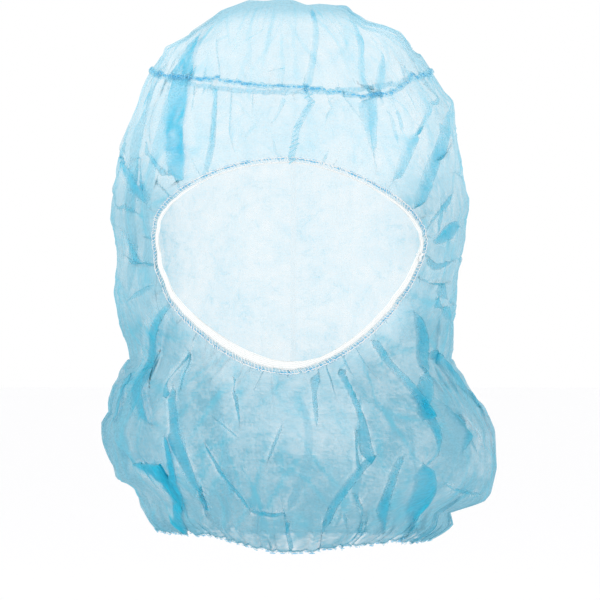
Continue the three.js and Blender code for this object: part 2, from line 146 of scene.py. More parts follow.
# in the order they are laid
folds = [
    # the wide flat pleat over the right brow, the corner above it and the lines beside it
    fold((-55, -9), (-44, -50), (-35, -92), (8, 9, 5.5), 1.9, (0.15, 0.06), pressed=0.12, level=True),
    fold((-27, -45), (-24, -63), (-24, -81), (3, 2.3, 1.4), 1.5, (0.03, 0.3)),
    fold((-38, -18), (-30, -30), (-26, -42), (2, 2, 2.5), 1.3, (0.2, 0.1)),
    fold((-20, -45), (-18, -61), (-15, -82), (2, 1.8, 1.4), 1.2, (0.05, 0.3)),
    fold((-1, -46), (-3, -56), (-6, -65), (2, 1.6, 1.4), 1.3, (0.05, 0.3)),
    # the crown
    fold((16, -3), (9, -24), (5, -43), (3, 2.6, 3), 1.6, (0.1, 0.05)),
    fold((39, -11), (30, -27), (30, -38), (3, 3, 3.5), 1.4, (0.1, 0.05), level=True),
    fold((44, -23), (38, -34), (34, -45), (2, 4.5, 2), 1.4, (0.2, 0.2), level=True),
    fold((-24, -26), (-15, -18), (-6, -12), (1.8, 1.8, 1.8), 0.75, (0.4, 0.4)),
    fold((-14, -36), (-5, -33), (4, -28), (1.8, 1.8, 1.8), 0.75, (0.4, 0.4)),
    fold((60, -30), (47, -38), (38, -42), (3, 3, 2.5), 0.6),
    # below the crown seam
    fold((30, -41), (26, -56), (26, -76), (5.5, 4, 1.3), 1.9, (0.03, 0.05), level=True),
    fold((35, -48), (35, -61), (35, -75), (2, 2, 1.7), 1.2, (0.05, 0.3)),
    fold((39, -50), (39, -57), (38, -67), (2, 2, 1.8), 1.2, (0.05, 0.3)),
    fold((15, -43), (11, -53), (10, -67), (2, 1.8, 1.6), 1.1, (0.05, 0.4)),
    fold((19, -43), (21, -51), (23, -59), (2, 1.8, 1.6), 1.1, (0.05, 0.4)),
    # two slanting bands over the left temple
    fold((50, -55), (41, -73), (31, -95), (1.6, 3.8, 3), 1.7, (0.2, 0.15)),
    fold((84, -48), (57, -75), (39, -108), (3, 5.5, 3), 1.6, (0.35, 0.12)),
    fold((66, -50), (51, -59), (44, -69), (4, 3, 2), 1.2),
    # the right side of the head
    fold((-57, -69), (-46, -82), (-38, -90), (2.2, 3, 2), 1.4, (0.2, 0.3)),
    fold((-59, -72), (-53, -86), (-49, -98), (2, 3, 2.5), 1.3),
    fold((-88, -74), (-61, -89), (-47, -103), (4, 6, 3), 1.4, (0.3, 0.2)),
    fold((-62, -32), (-64, -49), (-58, -67), (3, 5, 3), 1.3),
    fold((-57, -50), (-55, -62), (-49, -75), (3, 3.5, 2.5), 1.3),
    fold((-90, -97), (-63, -102), (-51, -107), (3, 4, 2.2), 1.1, (0.5, 0.3)),
    fold((-76, -107), (-61, -121), (-45, -128), (3, 4.5, 2.2), 1.3, (0.3, 0.15)),
    fold((-86, -122), (-61, -127), (-44, -129), (3, 4, 3), 1.1, (0.5, 0.1)),
    fold((-78, -152), (-57, -144), (-44, -138), (3, 5, 3), 0.95, (0.5, 0.3)),
    # creases that run out from the left corner of the opening
    fold((47, -122), (58, -116), (78, -110), (2.4, 4.5, 6), 1.7, (0.04, 0.3)),
    fold((48, -129), (61, -130), (84, -124), (2, 3.4, 3.6), 1.25, (0.05, 0.5)),
    fold((48, -136), (60, -141), (84, -149), (2.2, 3.8, 4.5), 1.15, (0.05, 0.5)),
    fold((46, -116), (53, -105), (70, -90), (2.4, 4.5, 6), 1.3, (0.05, 0.3)),
    # the right jaw: a broad fold over the waist of the side, a dark hollow below it and the wing
    fold((-37, -147), (-57, -179), (-41, -211), (2, 13, 3), 1.55, (0.05, 0.12)),
    fold((-31, -166), (-40, -182), (-40, -197), (1.5, 2.3, 2.5), 1.35, (0.1, 0.1)),
    fold((-39, -185), (-33, -218), (-31, -255), (2.7, 4, 3.3), 1.8, (0.15, 0.1)),
    fold((-38, -210), (-41, -236), (-55, -262), (1.8, 4, 5), 1.9, (0.1, 0.03), pressed=0.4),
    fold((-59, -228), (-50, -231), (-41, -234), (1.6, 6, 9), 1.7, (0.05, 0.15), pressed=0.3),
    fold((-69, -183), (-67, -195), (-69, -210), (6, 7, 5), 1.4, (0.1, 0.2)),
    fold((-29, -237), (-32, -245), (-32, -255), (1.9, 3, 2.4), 1.3, (0.1, 0.2)),
    fold((-34, -172), (-35, -182), (-33, -195), (2, 2.8, 1.9), 1.3, (0.1, 0.3)),
    # the soft lines under the chin
    fold((-17, -183), (-14, -195), (-12, -214), (1.7, 1.8, 1.5), 1.3, (0.1, 0.3)),
    fold((-22, -203), (-17, -208), (-12, -215), (2, 2, 1.9), 1.1, (0.3, 0.2)),
    fold((-24, -213), (-20, -230), (-12, -248), (1.6, 2.4, 2.5), 1.4, (0.2, 0.1)),
    fold((-14, -247), (-5, -248), (3, -247), (2.6, 2, 1.5), 1.4, (0.1, 0.3)),
    fold((-1, -203), (-3, -215), (-7, -231), (1.4, 1.6, 1.7), 1.2, (0.3, 0.3)),
    fold((7, -182), (6, -194), (6, -211), (2, 1.8, 1.3), 1.5, (0.03, 0.2)),
    fold((1, -248), (1, -255), (1, -263), (1.6, 2.8, 2.5), 1.4, (0.2, 0.03)),
    fold((16, -248), (17, -255), (20, -267), (1.9, 2.1, 2.5), 1.2, (0.2, 0.03)),
    fold((11, -249), (11, -258), (9, -267), (1.8, 2.4, 2.2), 1.5, (0.2, 0.03)),
    # the folds that hang over from below the left of the face
    fold((57, -177), (45, -192), (37, -209), (4, 5, 5), 1.7, (0.2, 0.2)),
    fold((41, -147), (51, -168), (50, -189), (1.5, 6, 4), 1.6, (0.3, 0.3)),
    fold((22, -164), (40, -191), (43, -235), (1.4, 3, 3.4), 1.8, (0.1, 0.3)),
    fold((14, -180), (18, -201), (19, -226), (1.4, 1.5, 2.4), 1.8, (0.05, 0.1)),
    fold((16, -207), (16, -217), (15, -230), (1.7, 1.7, 1.6), 1.2),
    fold((37, -222), (41, -242), (50, -262), (5, 7, 5), 1.8, (0.25, 0.02), pressed=0.1),
    fold((31, -221), (27, -239), (34, -259), (1.5, 2.6, 3.5), 1.8, (0.1, 0.03)),
    fold((25, -218), (13, -239), (10, -267), (2.2, 3, 3), 1.5, (0.2, 0.03)),
    fold((16, -238), (19, -244), (23, -251), (1.6, 2, 1.8), 1.3),
    fold((48, -198), (58, -209), (49, -229), (2, 4.5, 2), 1.4, (0.3, 0.3)),
    fold((44, -233), (58, -240), (84, -243), (2, 4, 5), 1.0, (0.3, 0.3)),
    fold((56, -146), (62, -151), (77, -158), (3, 4.5, 5), 1.3),
    fold((55, -173), (74, -183), (91, -211), (3, 5, 4), 1.5, (0.1, 0.1)),
    # the wings and the back
    fold((-96, -170), (-92, -200), (-98, -244), (4, 6, 5), 0.9, lift=2.6),
    fold((96, -170), (94, -206), (100, -250), (4, 6, 5), 0.9, lift=2.6),
    fold((104, -46), (110, -84), (124, -126), (2, 5, 3), 1.2, lift=2.2),
    fold((126, -156), (114, -198), (106, -250), (3, 6, 6), 1.2, lift=2.6),
    fold((254, -44), (246, -98), (252, -152), (2, 5, 3), 1.2, lift=2.2),
    fold((236, -170), (246, -206), (262, -252), (3, 6, 6), 1.2, lift=2.6),
    fold((126, -10), (128, -70), (121, -130), (3, 6, 3), 0.9, lift=2.4),
    fold((233, -12), (234, -84), (239, -150), (3, 6, 3), 0.9, lift=2.4),
    fold((148, -40), (152, -62), (149, -86), (2, 4, 2), 1.2, lift=1.4),
    fold((212, -40), (207, -66), (211, -92), (2, 4, 2), 1.2, lift=1.4),
    fold((138, -168), (144, -214), (134, -262), (3, 6, 6), 1.1, lift=2.4),
    fold((222, -164), (216, -212), (226, -262), (3, 6, 6), 1.1, lift=2.4),
    fold((156, -186), (162, -224), (154, -266), (3, 5, 6), 1.2, lift=2.2),
    fold((180, -190), (176, -226), (184, -266), (3, 5, 6), 1.2, lift=2.2),
    fold((206, -184), (200, -222), (208, -266), (3, 5, 6), 1.2, lift=2.2),
    fold((160, -44), (164, -110), (158, -180), (4, 5, 4), 0.3, lift=1.6),
    fold((200, -40), (195, -100), (201, -176), (4, 5, 4), 0.3, lift=1.6),
]

# Where the top stands up or dips: x and z seen from the front, how far, and the size of the place.
peaks = [(-20, 1, 1.2, 9), (-4, 1, 1.2, 9), (8.5, 0, -3.0, 7), (28, -2, 1.0, 6)]


def smoothStep(value, low, high):
    t = np.clip((value - low) / (high - low), 0, 1)
    return t * t * (3 - 2 * t)


def grow(value, most, low, high):
    # from nothing where value is low to the most where it is high
    return most * smoothStep(value, low, high)


def bump(distance):
    return np.clip(1 - np.square(distance), 0, None) ** 2


def within(value, limits):
    return limits[0] < value < limits[1]


def turned(degrees):
    return (np.asarray(degrees) + 180) % 360 - 180


def curveThrough(column, at):
    place = form["columns"].index(column)
    rows = np.array([row[place] for row in form["sections"]], float)
    i = np.clip(np.floor(at).astype(int), 0, hemAt - 1)
    t = at - i
    a, b, c, d = (rows[np.clip(i + k, 0, hemAt)] for k in (-1, 0, 1, 2))
    slopeB = form["slope"] * (c - a)
    slopeC = form["slope"] * (d - b)
    return (
        b * (2 * t**3 - 3 * t**2 + 1)
        + slopeB * (t**3 - 2 * t**2 + t)
        + c * (3 * t**2 - 2 * t**3)
        + slopeC * (t**3 - t**2)
    )


sampleAt = np.linspace(0, hemAt, 2000)
sampleZ = curveThrough("z", sampleAt)


def sectionAt(z):
    return np.interp(-np.asarray(z, float), -sampleZ, sampleAt)


def edgeRise(angle, edge):
    turn = np.asarray(angle, float) % 360
    rise = np.zeros_like(turn)
    k = ("angle", "seam", "hem").index(edge)
    for a, b in zip(form["edgeRise"], form["edgeRise"][1:]):
        inside = (turn >= a[0]) & (turn <= b[0])
        rise = np.where(inside, a[k] + smoothStep(turn, a[0], b[0]) * (b[k] - a[k]), rise)
    return rise


def sideReach(side, z, at, grip):
    # how far out a side lies; as grip comes to 1 it follows the outline's corners
    usual = curveThrough(side, at)
    heights, reaches = (np.array(column, float) for column in zip(*form["outline"][side]))
    corners = np.where(z > heights[-1] - 2, np.interp(-z, -heights, reaches), usual)
    return usual + grip * (corners - usual)


def formPoint(angle, at):
    # the bare form of the hood, without folds
    sine, cosine = np.sin(np.radians(angle)), np.cos(np.radians(angle))
    power = 2 / form["roundness"]
    x = np.sign(sine) * np.abs(sine) ** power
    y = -np.sign(cosine) * np.abs(cosine) ** power
    z = (
        curveThrough("z", at)
        + bump((at - form["seamAt"]) / form["seamReach"]) * edgeRise(angle, "seam")
        + bump((at - hemAt) / form["hemReach"]) * edgeRise(angle, "hem")
    )
    right, left = (sideReach(side, z, at, np.abs(sine) ** form["sideGrip"]) for side in ("right", "left"))
    x = x * np.where(x > 0, left, right)
    y = y * np.where(y > 0, curveThrough("back", at), curveThrough("front", at))
    return np.stack([x, y, z], -1)


def unit(vectors):
    return vectors / np.maximum(np.linalg.norm(vectors, axis=-1, keepdims=True), 1e-9)


def formFrame(angle, at):
    # the form's point, and its outward, downward and sideways directions
    step, turn = 0.02, 0.4
    at = np.clip(at, step, hemAt)
    down = unit(formPoint(angle, np.minimum(at + step, hemAt)) - formPoint(angle, at - step))
    aside = unit(formPoint(angle + turn, at) - formPoint(angle - turn, at))
    normal = unit(np.cross(down, aside))
    return formPoint(angle, at), normal, down, aside


def cornerAngle():
    # the angle at which the two corners of the opening lie
    angles = np.linspace(20, 80, 3000)
    x = formPoint(angles, np.full_like(angles, sectionAt(opening["cornerZ"])))[:, 0]
    return float(np.interp(opening["halfWidth"], x, angles))


corner = cornerAngle()


def openingAngle(across):
    # the angle at which the form's front lies this far across the opening, from -1 to 1
    power = form["roundness"] / 2
    full = math.sin(math.radians(corner)) ** (1 / power)
    return np.degrees(np.arcsin((np.abs(across) * full) ** power)) * np.sign(across)


def alongPath(s, z, points):
    # of the nearest place on a path: its share of the way, the signed distance from it, and
    # the direction across it
    ahead = unit(np.gradient(points, axis=0))
    across = np.stack([-ahead[:, 1], ahead[:, 0]], -1)
    best = np.full(s.shape, np.inf)
    share, signed = np.zeros_like(s), np.zeros_like(s)
    direction = np.zeros(s.shape + (2,))
    for k in range(len(points) - 1):
        step = points[k + 1] - points[k]
        ds, dz = s - points[k][0], z - points[k][1]
        u = np.clip((ds * step[0] + dz * step[1]) / (step @ step), 0, 1)
        away = (ds - u * step[0]) ** 2 + (dz - u * step[1]) ** 2
        near = away < best
        side = np.sign(step[0] * dz - step[1] * ds)
        best = np.where(near, away, best)
        share = np.where(near, (k + u) / (len(points) - 1), share)
        signed = np.where(near, side * np.sqrt(away), signed)
        turnedTo = across[k] + u[..., None] * (across[k + 1] - across[k])
        direction = np.where(near[..., None], turnedTo, direction)
    return share, signed, direction


def openingEdge(across, upper):
    # height of the opening's upper or lower edge by how far across it is, from -1 to 1
    powers = opening["upperPower"] if upper else opening["lowerPower"]
    power = np.where(across > 0, powers["left"], powers["right"])
    share = np.clip(1 - np.abs(across) ** power, 0, 1) ** (1 / power)
    return opening["cornerZ"] + share * (opening["rise"] if upper else -opening["drop"])


tucks = {  # small pleats that the sewing draws in: mm between them, their lengths and widths
    "seed": 5,
    "crown": {"pitch": 9.5, "lengths": (5, 22), "widths": (1.6, 2.4), "ratios": (0.5, 1.15), "lean": 0.2},
    "face": {
        "count": 58,
        "lengths": (6, 34),
        "widths": (1.6, 2.4),
        "ratios": (0.5, 1.05),
        "lean": 0.14,
        "span": 0.995,  # shares of the opening's breadth: how far they go to either side,
        "scatter": 0.012,  # how they stray along it
        "end": 0.998,  # and where they stop
        "aimAbove": 6,  # mm from the middle of the opening that they point to
        "aimBelow": -2,
    },
    "hem": {"pitch": 8.0, "lengths": (8, 34), "widths": (1.8, 3.0), "ratios": (0.5, 1.1), "lean": 0.22},
    "side": {"count": 70, "lengths": (22, 70), "widths": (1.8, 3.2), "ratios": (0.6, 1.15), "lean": 0.25},
    "sewnEnds": (0.04, 0.7),
    "sideEnds": (0.3, 0.4),
    "scatter": 2.0,  # mm that they stray along the seam
    "crownShare": 0.75,  # of the places at the crown seam that have one
    "taper": (1, 0.9, 0.75),  # of the width from the seam on
    "lift": 0.3,  # for each mm of width
    "bow": 0.06,  # sideways, for each mm of length
    "sideAngles": (46, 118),
    "sideHeights": (-250, -30),
    "smoothAngles": (76, 104),  # over the widest part of the head the cloth has none
    "smoothHeights": (-175, -60),
    "nearAngle": 95,  # up to here and at these heights they point at the opening
    "nearHeights": (-190, -70),
    "hanging": 0.3,  # and elsewhere they hang, more or less
}


def makeTucks():
    dice = np.random.default_rng(tucks["seed"])
    rows = []

    def add(kind, s, z, lean):
        # lean is the direction of the path, 0 straight up
        size = tucks[kind]
        lean = lean + dice.normal(0, size["lean"])
        ends = tucks["sideEnds" if kind == "side" else "sewnEnds"]
        length = dice.uniform(*size["lengths"])
        bow = dice.normal(0, tucks["bow"]) * length
        path = []
        for share, side in ((0, 0), (0.5, bow), (1, 0)):
            far = share * length
            path.append(((s + far * math.sin(lean) + side * math.cos(lean)) / sheetPerDegree,
                         z + far * math.cos(lean) - side * math.sin(lean)))
        width = dice.uniform(*size["widths"])
        widths = tuple(share * width for share in tucks["taper"])
        rows.append(fold(*path, widths, dice.uniform(*size["ratios"]), ends,
                         lift=tucks["lift"] * width, sewn=kind != "side"))

    for kind, level, leans in (("crown", seamLevel, (math.pi, 0)), ("hem", hemLevel, (0,))):
        around = np.arange(0, lap, tucks[kind]["pitch"])
        for s in around + dice.normal(0, tucks["scatter"], len(around)):
            for lean in leans:
                if kind == "hem" or dice.random() < tucks["crownShare"]:
                    add(kind, s, level, lean)
    for upper in (True, False):
        size = tucks["face"]
        across = np.linspace(-size["span"], size["span"], size["count"] // 2)
        across = across + dice.normal(0, size["scatter"], len(across))
        for u in np.clip(across, -size["end"], size["end"]):
            s, z = openingAngle(u) * sheetPerDegree, float(openingEdge(u, upper))
            aim = size["aimAbove"] if upper else size["aimBelow"]
            add("face", s, z, math.atan2(s, z - opening["cornerZ"] + aim))
    for _ in range(tucks["side"]["count"]):
        side = dice.choice([-1, 1])
        angle = side * dice.uniform(*tucks["sideAngles"])
        z = dice.uniform(*tucks["sideHeights"])
        if within(abs(angle), tucks["smoothAngles"]) and within(z, tucks["smoothHeights"]):
            continue
        toFace = math.atan2(angle * sheetPerDegree, z - opening["cornerZ"])
        isNear = abs(angle) < tucks["nearAngle"] and within(z, tucks["nearHeights"])
        add("side", angle * sheetPerDegree, z, toFace if isNear else dice.normal(0, tucks["hanging"]))
    return rows


def foldShape(d):
    return d * np.exp(0.5 - d * d / 2)


ratios = np.linspace(0, 3, 61)
places = np.linspace(0, 1.6, 200)
laidBack = (ratios[:, None] * foldShape(places) - places).max(1).clip(0)  # half of the strip, per width
laying = {
    "steps": 15,  # along each path
    "reach": 3.6,  # widths to either side that a fold still draws in
    "edge": (-1.1, 1.7),  # mm over which the extra layers begin at the strip's edge
    "leastStrip": 0.6,  # mm, narrower ones have no extra layers
    "edgeCrease": 0.36,  # how sharply the turned edge is pressed
}
allFolds = folds + makeTucks()


def foldCloth(angle, z, free):
    # lays the folds one after another over places of the sheet, and tells where each place ends
    # up, how far it is lifted, how many extra layers lie there and how tight they are
    shape = angle.shape
    s, z = (angle * sheetPerDegree).ravel(), np.array(z, float).ravel()
    free = free.ravel()
    lift, layers, pressed = np.zeros_like(s), np.zeros_like(s), np.zeros_like(s)
    for one in allFolds:
        a, b, c = (np.array([place[0] * sheetPerDegree, place[1]]) for place in one["path"])
        t = np.linspace(0, 1, laying["steps"])[:, None]
        points = (1 - t) ** 2 * a + 2 * t * (1 - t) * (2 * b - (a + c) / 2) + t**2 * c
        reach = laying["reach"] * max(one["width"])
        low, high = points.min(0) - reach, points.max(0) + reach
        local = (s - low[0]) % lap + low[0]
        near = np.flatnonzero((local < high[0]) & (z > low[1]) & (z < high[1]))
        share, signed, across = alongPath(local[near], z[near], points)
        width = np.interp(share, (0, 0.5, 1), one["width"])
        opens, closes = one["ends"]
        window = smoothStep(share, 0, opens) * smoothStep(-share, -1, closes - 1)
        if not one["sewn"]:
            window = window * free[near]
        carried = foldShape(signed / width) * window
        over = one["ratio"] * width * carried
        strip = width * np.interp(one["ratio"] * window, ratios, laidBack)
        inside = smoothStep(strip - np.abs(signed - over), *laying["edge"])
        inside = inside * smoothStep(strip, 0, laying["leastStrip"])
        layers[near] += 2 * inside
        edge = 0.5 + 0.5 * np.clip((signed - over) / np.maximum(strip, 0.5), -1, 1)
        pressed[near] += (one["pressed"] + laying["edgeCrease"] * edge ** 2) * inside
        if one["level"]:
            s[near] -= over / across[:, 0]
        else:
            s[near] -= over * across[:, 0]
            z[near] -= over * across[:, 1]
        lift[near] -= one["lift"] * carried
    return [column.reshape(shape) for column in (s / sheetPerDegree, z, lift, layers, pressed)]


def openingDistance(x, y, z):
    # roughly how far a point on the front lies outside the opening
    across = np.clip(x / opening["halfWidth"], -1, 1)
    over = np.abs(x) - opening["halfWidth"]
    dz = np.maximum(z - openingEdge(across, True), openingEdge(across, False) - z)
    side = np.hypot(np.maximum(over, 0), np.maximum(dz, 0) * (over > 0))
    gap = np.where(over > 0, side, np.maximum(dz, 0))
    slant = np.hypot(1, 0.9 * np.abs(across) ** 3)
    return np.where(y < 0, gap / slant, 200)


crumple = {
    "seed": 11,
    "creases": 1250,
    "lengths": (14, 60),  # of one crease
    "widths": (1.8, 5.5),
    "heights": (0.2, 1.0),
    "dips": 0.35,  # share of them that go inwards
    "bow": 0.06,  # sideways, for each mm of length
    "stray": 24,  # degrees from the way they point
    "levels": (-268, -2),  # between which they lie
    "aimBelow": 12,  # mm below the opening's corners that they point to
    "faceReach": (60, 45),  # mm round it where all of them do, and over which fewer and fewer do
}


def makeCreases():
    # short sharp ridges: round the face they point at the opening, elsewhere they hang
    dice = np.random.default_rng(crumple["seed"])
    rows = []
    for _ in range(crumple["creases"]):
        s = dice.uniform(-180, 180) * sheetPerDegree
        z = dice.uniform(*crumple["levels"])
        toFace = np.degrees(np.arctan2(s, z - (opening["cornerZ"] - crumple["aimBelow"])))
        whole, fewer = crumple["faceReach"]
        near = np.exp(-max(0, np.hypot(s, z - opening["cornerZ"]) - whole) / fewer)
        stray = dice.normal(0, crumple["stray"])
        lean = np.radians((toFace if dice.random() < near else 0) + stray)
        dips = crumple["dips"]
        tall = dice.uniform(*crumple["heights"]) * dice.choice([-1, 1], p=[dips, 1 - dips])
        rows.append((s, z, lean, dice.uniform(*crumple["lengths"]), dice.uniform(*crumple["widths"]), tall))
    return rows


creaseRows = makeCreases()


def creaseField(angle, z):
    # outward height of the creases, and how sharp the cloth is folded there
    s = turned(angle) * sheetPerDegree
    shape = s.shape
    s, z = s.ravel(), np.broadcast_to(z, shape).ravel()
    height, sharp = np.zeros_like(s), np.zeros_like(s)
    for s0, z0, lean, length, width, tall in creaseRows:
        ds = (s - s0 + lap / 2) % lap - lap / 2
        near = np.flatnonzero((np.abs(ds) < length) & (np.abs(z - z0) < length))
        if not len(near):
            continue
        dx, dz = ds[near], z[near] - z0
        t = (dx * math.sin(lean) + dz * math.cos(lean)) / (length / 2)
        d = dx * math.cos(lean) - dz * math.sin(lean)
        d = (d - crumple["bow"] * length * (1 - t * t)) / width
        ridge = np.clip(1 - np.abs(d), 0, None) ** 1.5 * bump(t)
        height[near] += tall * ridge
        sharp[near] += np.abs(tall) * np.clip(1 - 2.2 * np.abs(d), 0, None) * bump(t)
    return height.reshape(shape), sharp.reshape(shape)


def ripple(place, pitch, seed):
    # an uneven wave with crests about one pitch apart
    dice = np.random.default_rng(seed)
    wave = np.zeros_like(place)
    for k in (0.62, 0.85, 1.0, 1.27, 1.7):  # crests of several pitches run into each other
        drift = 0.9 * np.sin(place / (pitch * 3.1) + dice.uniform(0, 6.28))
        wave += np.sin(place * 2 * np.pi * k / pitch + drift + dice.uniform(0, 6.28)) / (1 + abs(k - 1))
    return wave / 2.6


gathers = {  # ripples at a sewn edge: their height and pitch, and how far they reach from it
    "seam": {"height": 0.54, "pitch": 4.4, "reach": 9, "seed": 1},
    "hem": {"height": 0.96, "pitch": 6.6, "reach": 17, "seed": 2},
    "face": {"height": 0.48, "pitch": 4.4, "reach": 7, "seed": 3},
    "fan": {"height": 0.8, "pitch": 10.5, "reach": 24, "seed": 4},  # broader ones, out from the opening
    "uneven": 6,  # mm that the reach at the seam and the hem goes up and down
    "faceUneven": 4,
    "openingRadius": 62.0,  # mm, for the length of its edge
    "upperFan": 0.4,  # height of the fan above the face, as a share of that below it
    "lowerFan": (130, 190),  # mm below the top over which it grows
    "fanStart": (0, 6),  # mm from the opening
    "fanSpread": 120,  # mm over which its pitch doubles
}


def gatherField(angle, x, y, z):
    # ripples that the seams and elastics draw into the cloth, and how sharp their crests are
    s = turned(angle) * sheetPerDegree
    uneven = gathers["uneven"] * np.sin(s / 13.0) * np.sin(s / 29.0 + 1)
    atSeam = np.exp(-np.abs(z - (seamLevel + edgeRise(angle, "seam"))) / (gathers["seam"]["reach"] + uneven))
    atHem = np.exp(-np.abs(z - (hemLevel + edgeRise(angle, "hem"))) / (gathers["hem"]["reach"] + uneven))
    turn = np.arctan2(z - openingMiddle, x)
    edge = turn * gathers["openingRadius"]
    distance = openingDistance(x, y, z)
    uneven = gathers["faceUneven"] * np.sin(turn * 5 + 1) * np.sin(turn * 3)
    atFace = np.exp(-distance / (gathers["face"]["reach"] + uneven))
    low = grow(-z, 1 - gathers["upperFan"], *gathers["lowerFan"]) + gathers["upperFan"]
    atFan = low * np.exp(-distance / gathers["fan"]["reach"]) * smoothStep(distance, *gathers["fanStart"])
    waves = []
    for row, place, near in (("seam", s, atSeam), ("hem", s, atHem), ("face", edge, atFace),
                             ("fan", edge * (1 + distance / gathers["fanSpread"]), atFan)):
        size = gathers[row]
        waves.append(size["height"] * ripple(place, size["pitch"], size["seed"]) * near)
    height = sum(waves)
    crest = sum(np.clip(wave, 0, None) ** 1.5 for wave in waves)
    return height, crest


def peakField(point):
    # how far the corners of the top stand out
    reach = np.zeros(point.shape[:-1])
    for x, z, out, size in peaks:
        away = np.hypot(point[..., 0] - x, point[..., 2] - z) / size
        cone = np.clip(1 - away, 0, None) ** 1.25
        reach += out * cone * bump(point[..., 1] / 52)
    return reach


calming = {  # where folds and creases die down, and how sharply they show
    "opening": (0, 8),  # mm from its edge
    "hem": 12,  # mm above it
    "hemShare": 0.7,  # of their height that is lost there
    "pole": (0.3, 3.0),  # sections below the very top
    "front": 0.35,  # share of the creases' height that is left on the taut front,
    "side": (30, 75),  # mm from the middle where they come to their full height
    "chin": (150, 200),  # and mm below the top
    "frontSharp": 0.75,
    "crestSharp": 0.35,  # of the gathers' crests
    "sharp": 0.8,
    "back": (0, 40),  # mm behind the middle where they show less
    "backLoss": 0.75,
    "backSide": (50, 80),  # but not out at the sides
}


def clothPoint(angle, at):
    # the finished cloth at places of its sheet, the layers there and how sharply it is creased
    bare = formPoint(angle, at)
    z, far = bare[..., 2], np.abs(bare[..., 0])
    distance = openingDistance(bare[..., 0], bare[..., 1], z)
    atHem = smoothStep(-z, -(hemLevel + calming["hem"]), -hemLevel)
    polar = smoothStep(at, *calming["pole"])
    free = smoothStep(distance, *calming["opening"]) * (1 - calming["hemShare"] * atHem) * polar
    rise = z - curveThrough("z", at)
    movedAngle, movedZ, lift, layers, pressed = foldCloth(angle, z - rise, free)
    movedAt = np.where(np.abs(movedZ - z + rise) > 1e-6, sectionAt(movedZ), at)
    point, normal, _, _ = formFrame(movedAngle, movedAt)
    creases, sharp = creaseField(angle, z)
    full = calming["front"] + (1 - calming["front"]) * smoothStep(far, *calming["side"])
    full = np.maximum(full, smoothStep(-z, *calming["chin"]))
    ripples, crest = gatherField(angle, bare[..., 0], bare[..., 1], z)
    out = lift + free * full * creases + polar * ripples + peakField(point)
    hidden = smoothStep(bare[..., 1], *calming["back"]) * (1 - smoothStep(far, *calming["backSide"]))
    seen = calming["sharp"] * (1 - calming["backLoss"] * hidden)
    sharp = sharp * free * (calming["frontSharp"] + (1 - calming["frontSharp"]) * full)
    sharp = sharp + calming["crestSharp"] * crest * polar
    return point + normal * out[..., None], layers, seen * (1 - np.exp(-sharp)) + pressed


# Where the cloth lies fuller or thinner than around it, partly the cloth's own fullness and partly painted
# light and shade: soft lighter and darker places, most of them round the chin and jaw. x and z seen from the
# front, the size of the place, and how much.
drapeAndShade = [
    (-44, -15, 13, 0.45),
    (58, -24, 13, 0.25),
    (-68, -44, 16, -0.3),
    (-74, -62, 14, -0.25),
    (64, -60, 15, -0.2),
    (-30, -236, 20, 0.35),
    (-4, -236, 18, 0.15),
    (10, -204, 22, -0.15),
    (-10, -194, 30, -0.1),
    (50, -250, 20, -0.25),
    (30, -205, 14, -0.1),
    (64, -217, 9, -0.35),
    (-76, -207, 15, -0.25),
    (50, -156, 10, -0.25),
]

# These entries also paint shade: the side, chin and neck entries make the cloth greyer and denser where
# shade falls.
fullnessAndShade = {  # the most that the cloth hangs full there, and from where to where it comes to that
    "upperSide": (0.5, 42, 84),  # by the distance from the middle
    "underTop": (0.35, -48, -10),  # by height, and so much less
    "lowerSide": (0.8, 26, 66),  # by the distance from the middle
    "sideBelow": (1, 74, 110),  # by depth below the top
    "chin": (0.9, 145, 195),
    "neck": (0.1, 205, 235),
    "hem": (0.4, 246, 262),
    "top": (0.5, -15, -3),  # by height
    "back": (0.8, 0, 50),  # by the distance behind the middle, and so much less
    "backSide": (1, 50, 84),  # but not out at the sides
    "backHem": (1, 225, 255),  # and not near the hem
}

closeness = {  # in the same way, how much more of the light the cloth stops
    "back": (0.19, 0, 60),
    "behindTop": (1, 20, 60),
    "top": (0.5, -13, -3),
    "hem": (0.03, 252, 260),
}


def loosenessAndShade(point):
    # 0 where the cloth is stretched thin over the head, 1 where it hangs full. It is partly painted light
    # and shade too: it makes the front and top lighter, and the sides and the parts under the chin greyer
    # and denser.
    x, y, z = np.abs(point[..., 0]), point[..., 1], point[..., 2]
    upper = grow(x, *fullnessAndShade["upperSide"]) * (1 - grow(z, *fullnessAndShade["underTop"]))
    lower = grow(x, *fullnessAndShade["lowerSide"])
    looseAndShade = upper + (lower - upper) * grow(-z, *fullnessAndShade["sideBelow"])
    # the chin and neck terms are mostly painted shade under the chin
    low = grow(-z, *fullnessAndShade["chin"]) + grow(-z, *fullnessAndShade["neck"]) + grow(-z, *fullnessAndShade["hem"])
    looseAndShade = looseAndShade + low + grow(z, *fullnessAndShade["top"])
    for placeX, placeZ, size, more in drapeAndShade:
        away = np.hypot(point[..., 0] - placeX, z - placeZ) / size
        looseAndShade = looseAndShade + more * bump(away / 1.4) * (y < 0)
    behind = grow(y, *fullnessAndShade["back"]) * (1 - grow(x, *fullnessAndShade["backSide"]))
    behind = behind * (1 - grow(-z, *fullnessAndShade["backHem"]))
    return np.clip(looseAndShade, 0, 1) * (1 - behind)


def thickness(point):
    # how much more of the light the cloth stops at the back, on top and where the hem draws it in
    y, z = point[..., 1], point[..., 2]
    back = grow(y, *closeness["back"]) * (1 - loosenessAndShade(point))
    top = grow(z, *closeness["top"]) * (1 - grow(y, *closeness["behindTop"]))
    return back + top + grow(-z, *closeness["hem"])


def linearColour(code):
    parts = [int(code[i:i + 2], 16) / 255 for i in (1, 3, 5)]
    return [c / 12.92 if c <= 0.04045 else ((c + 0.055) / 1.055) ** 2.4 for c in parts] + [1]


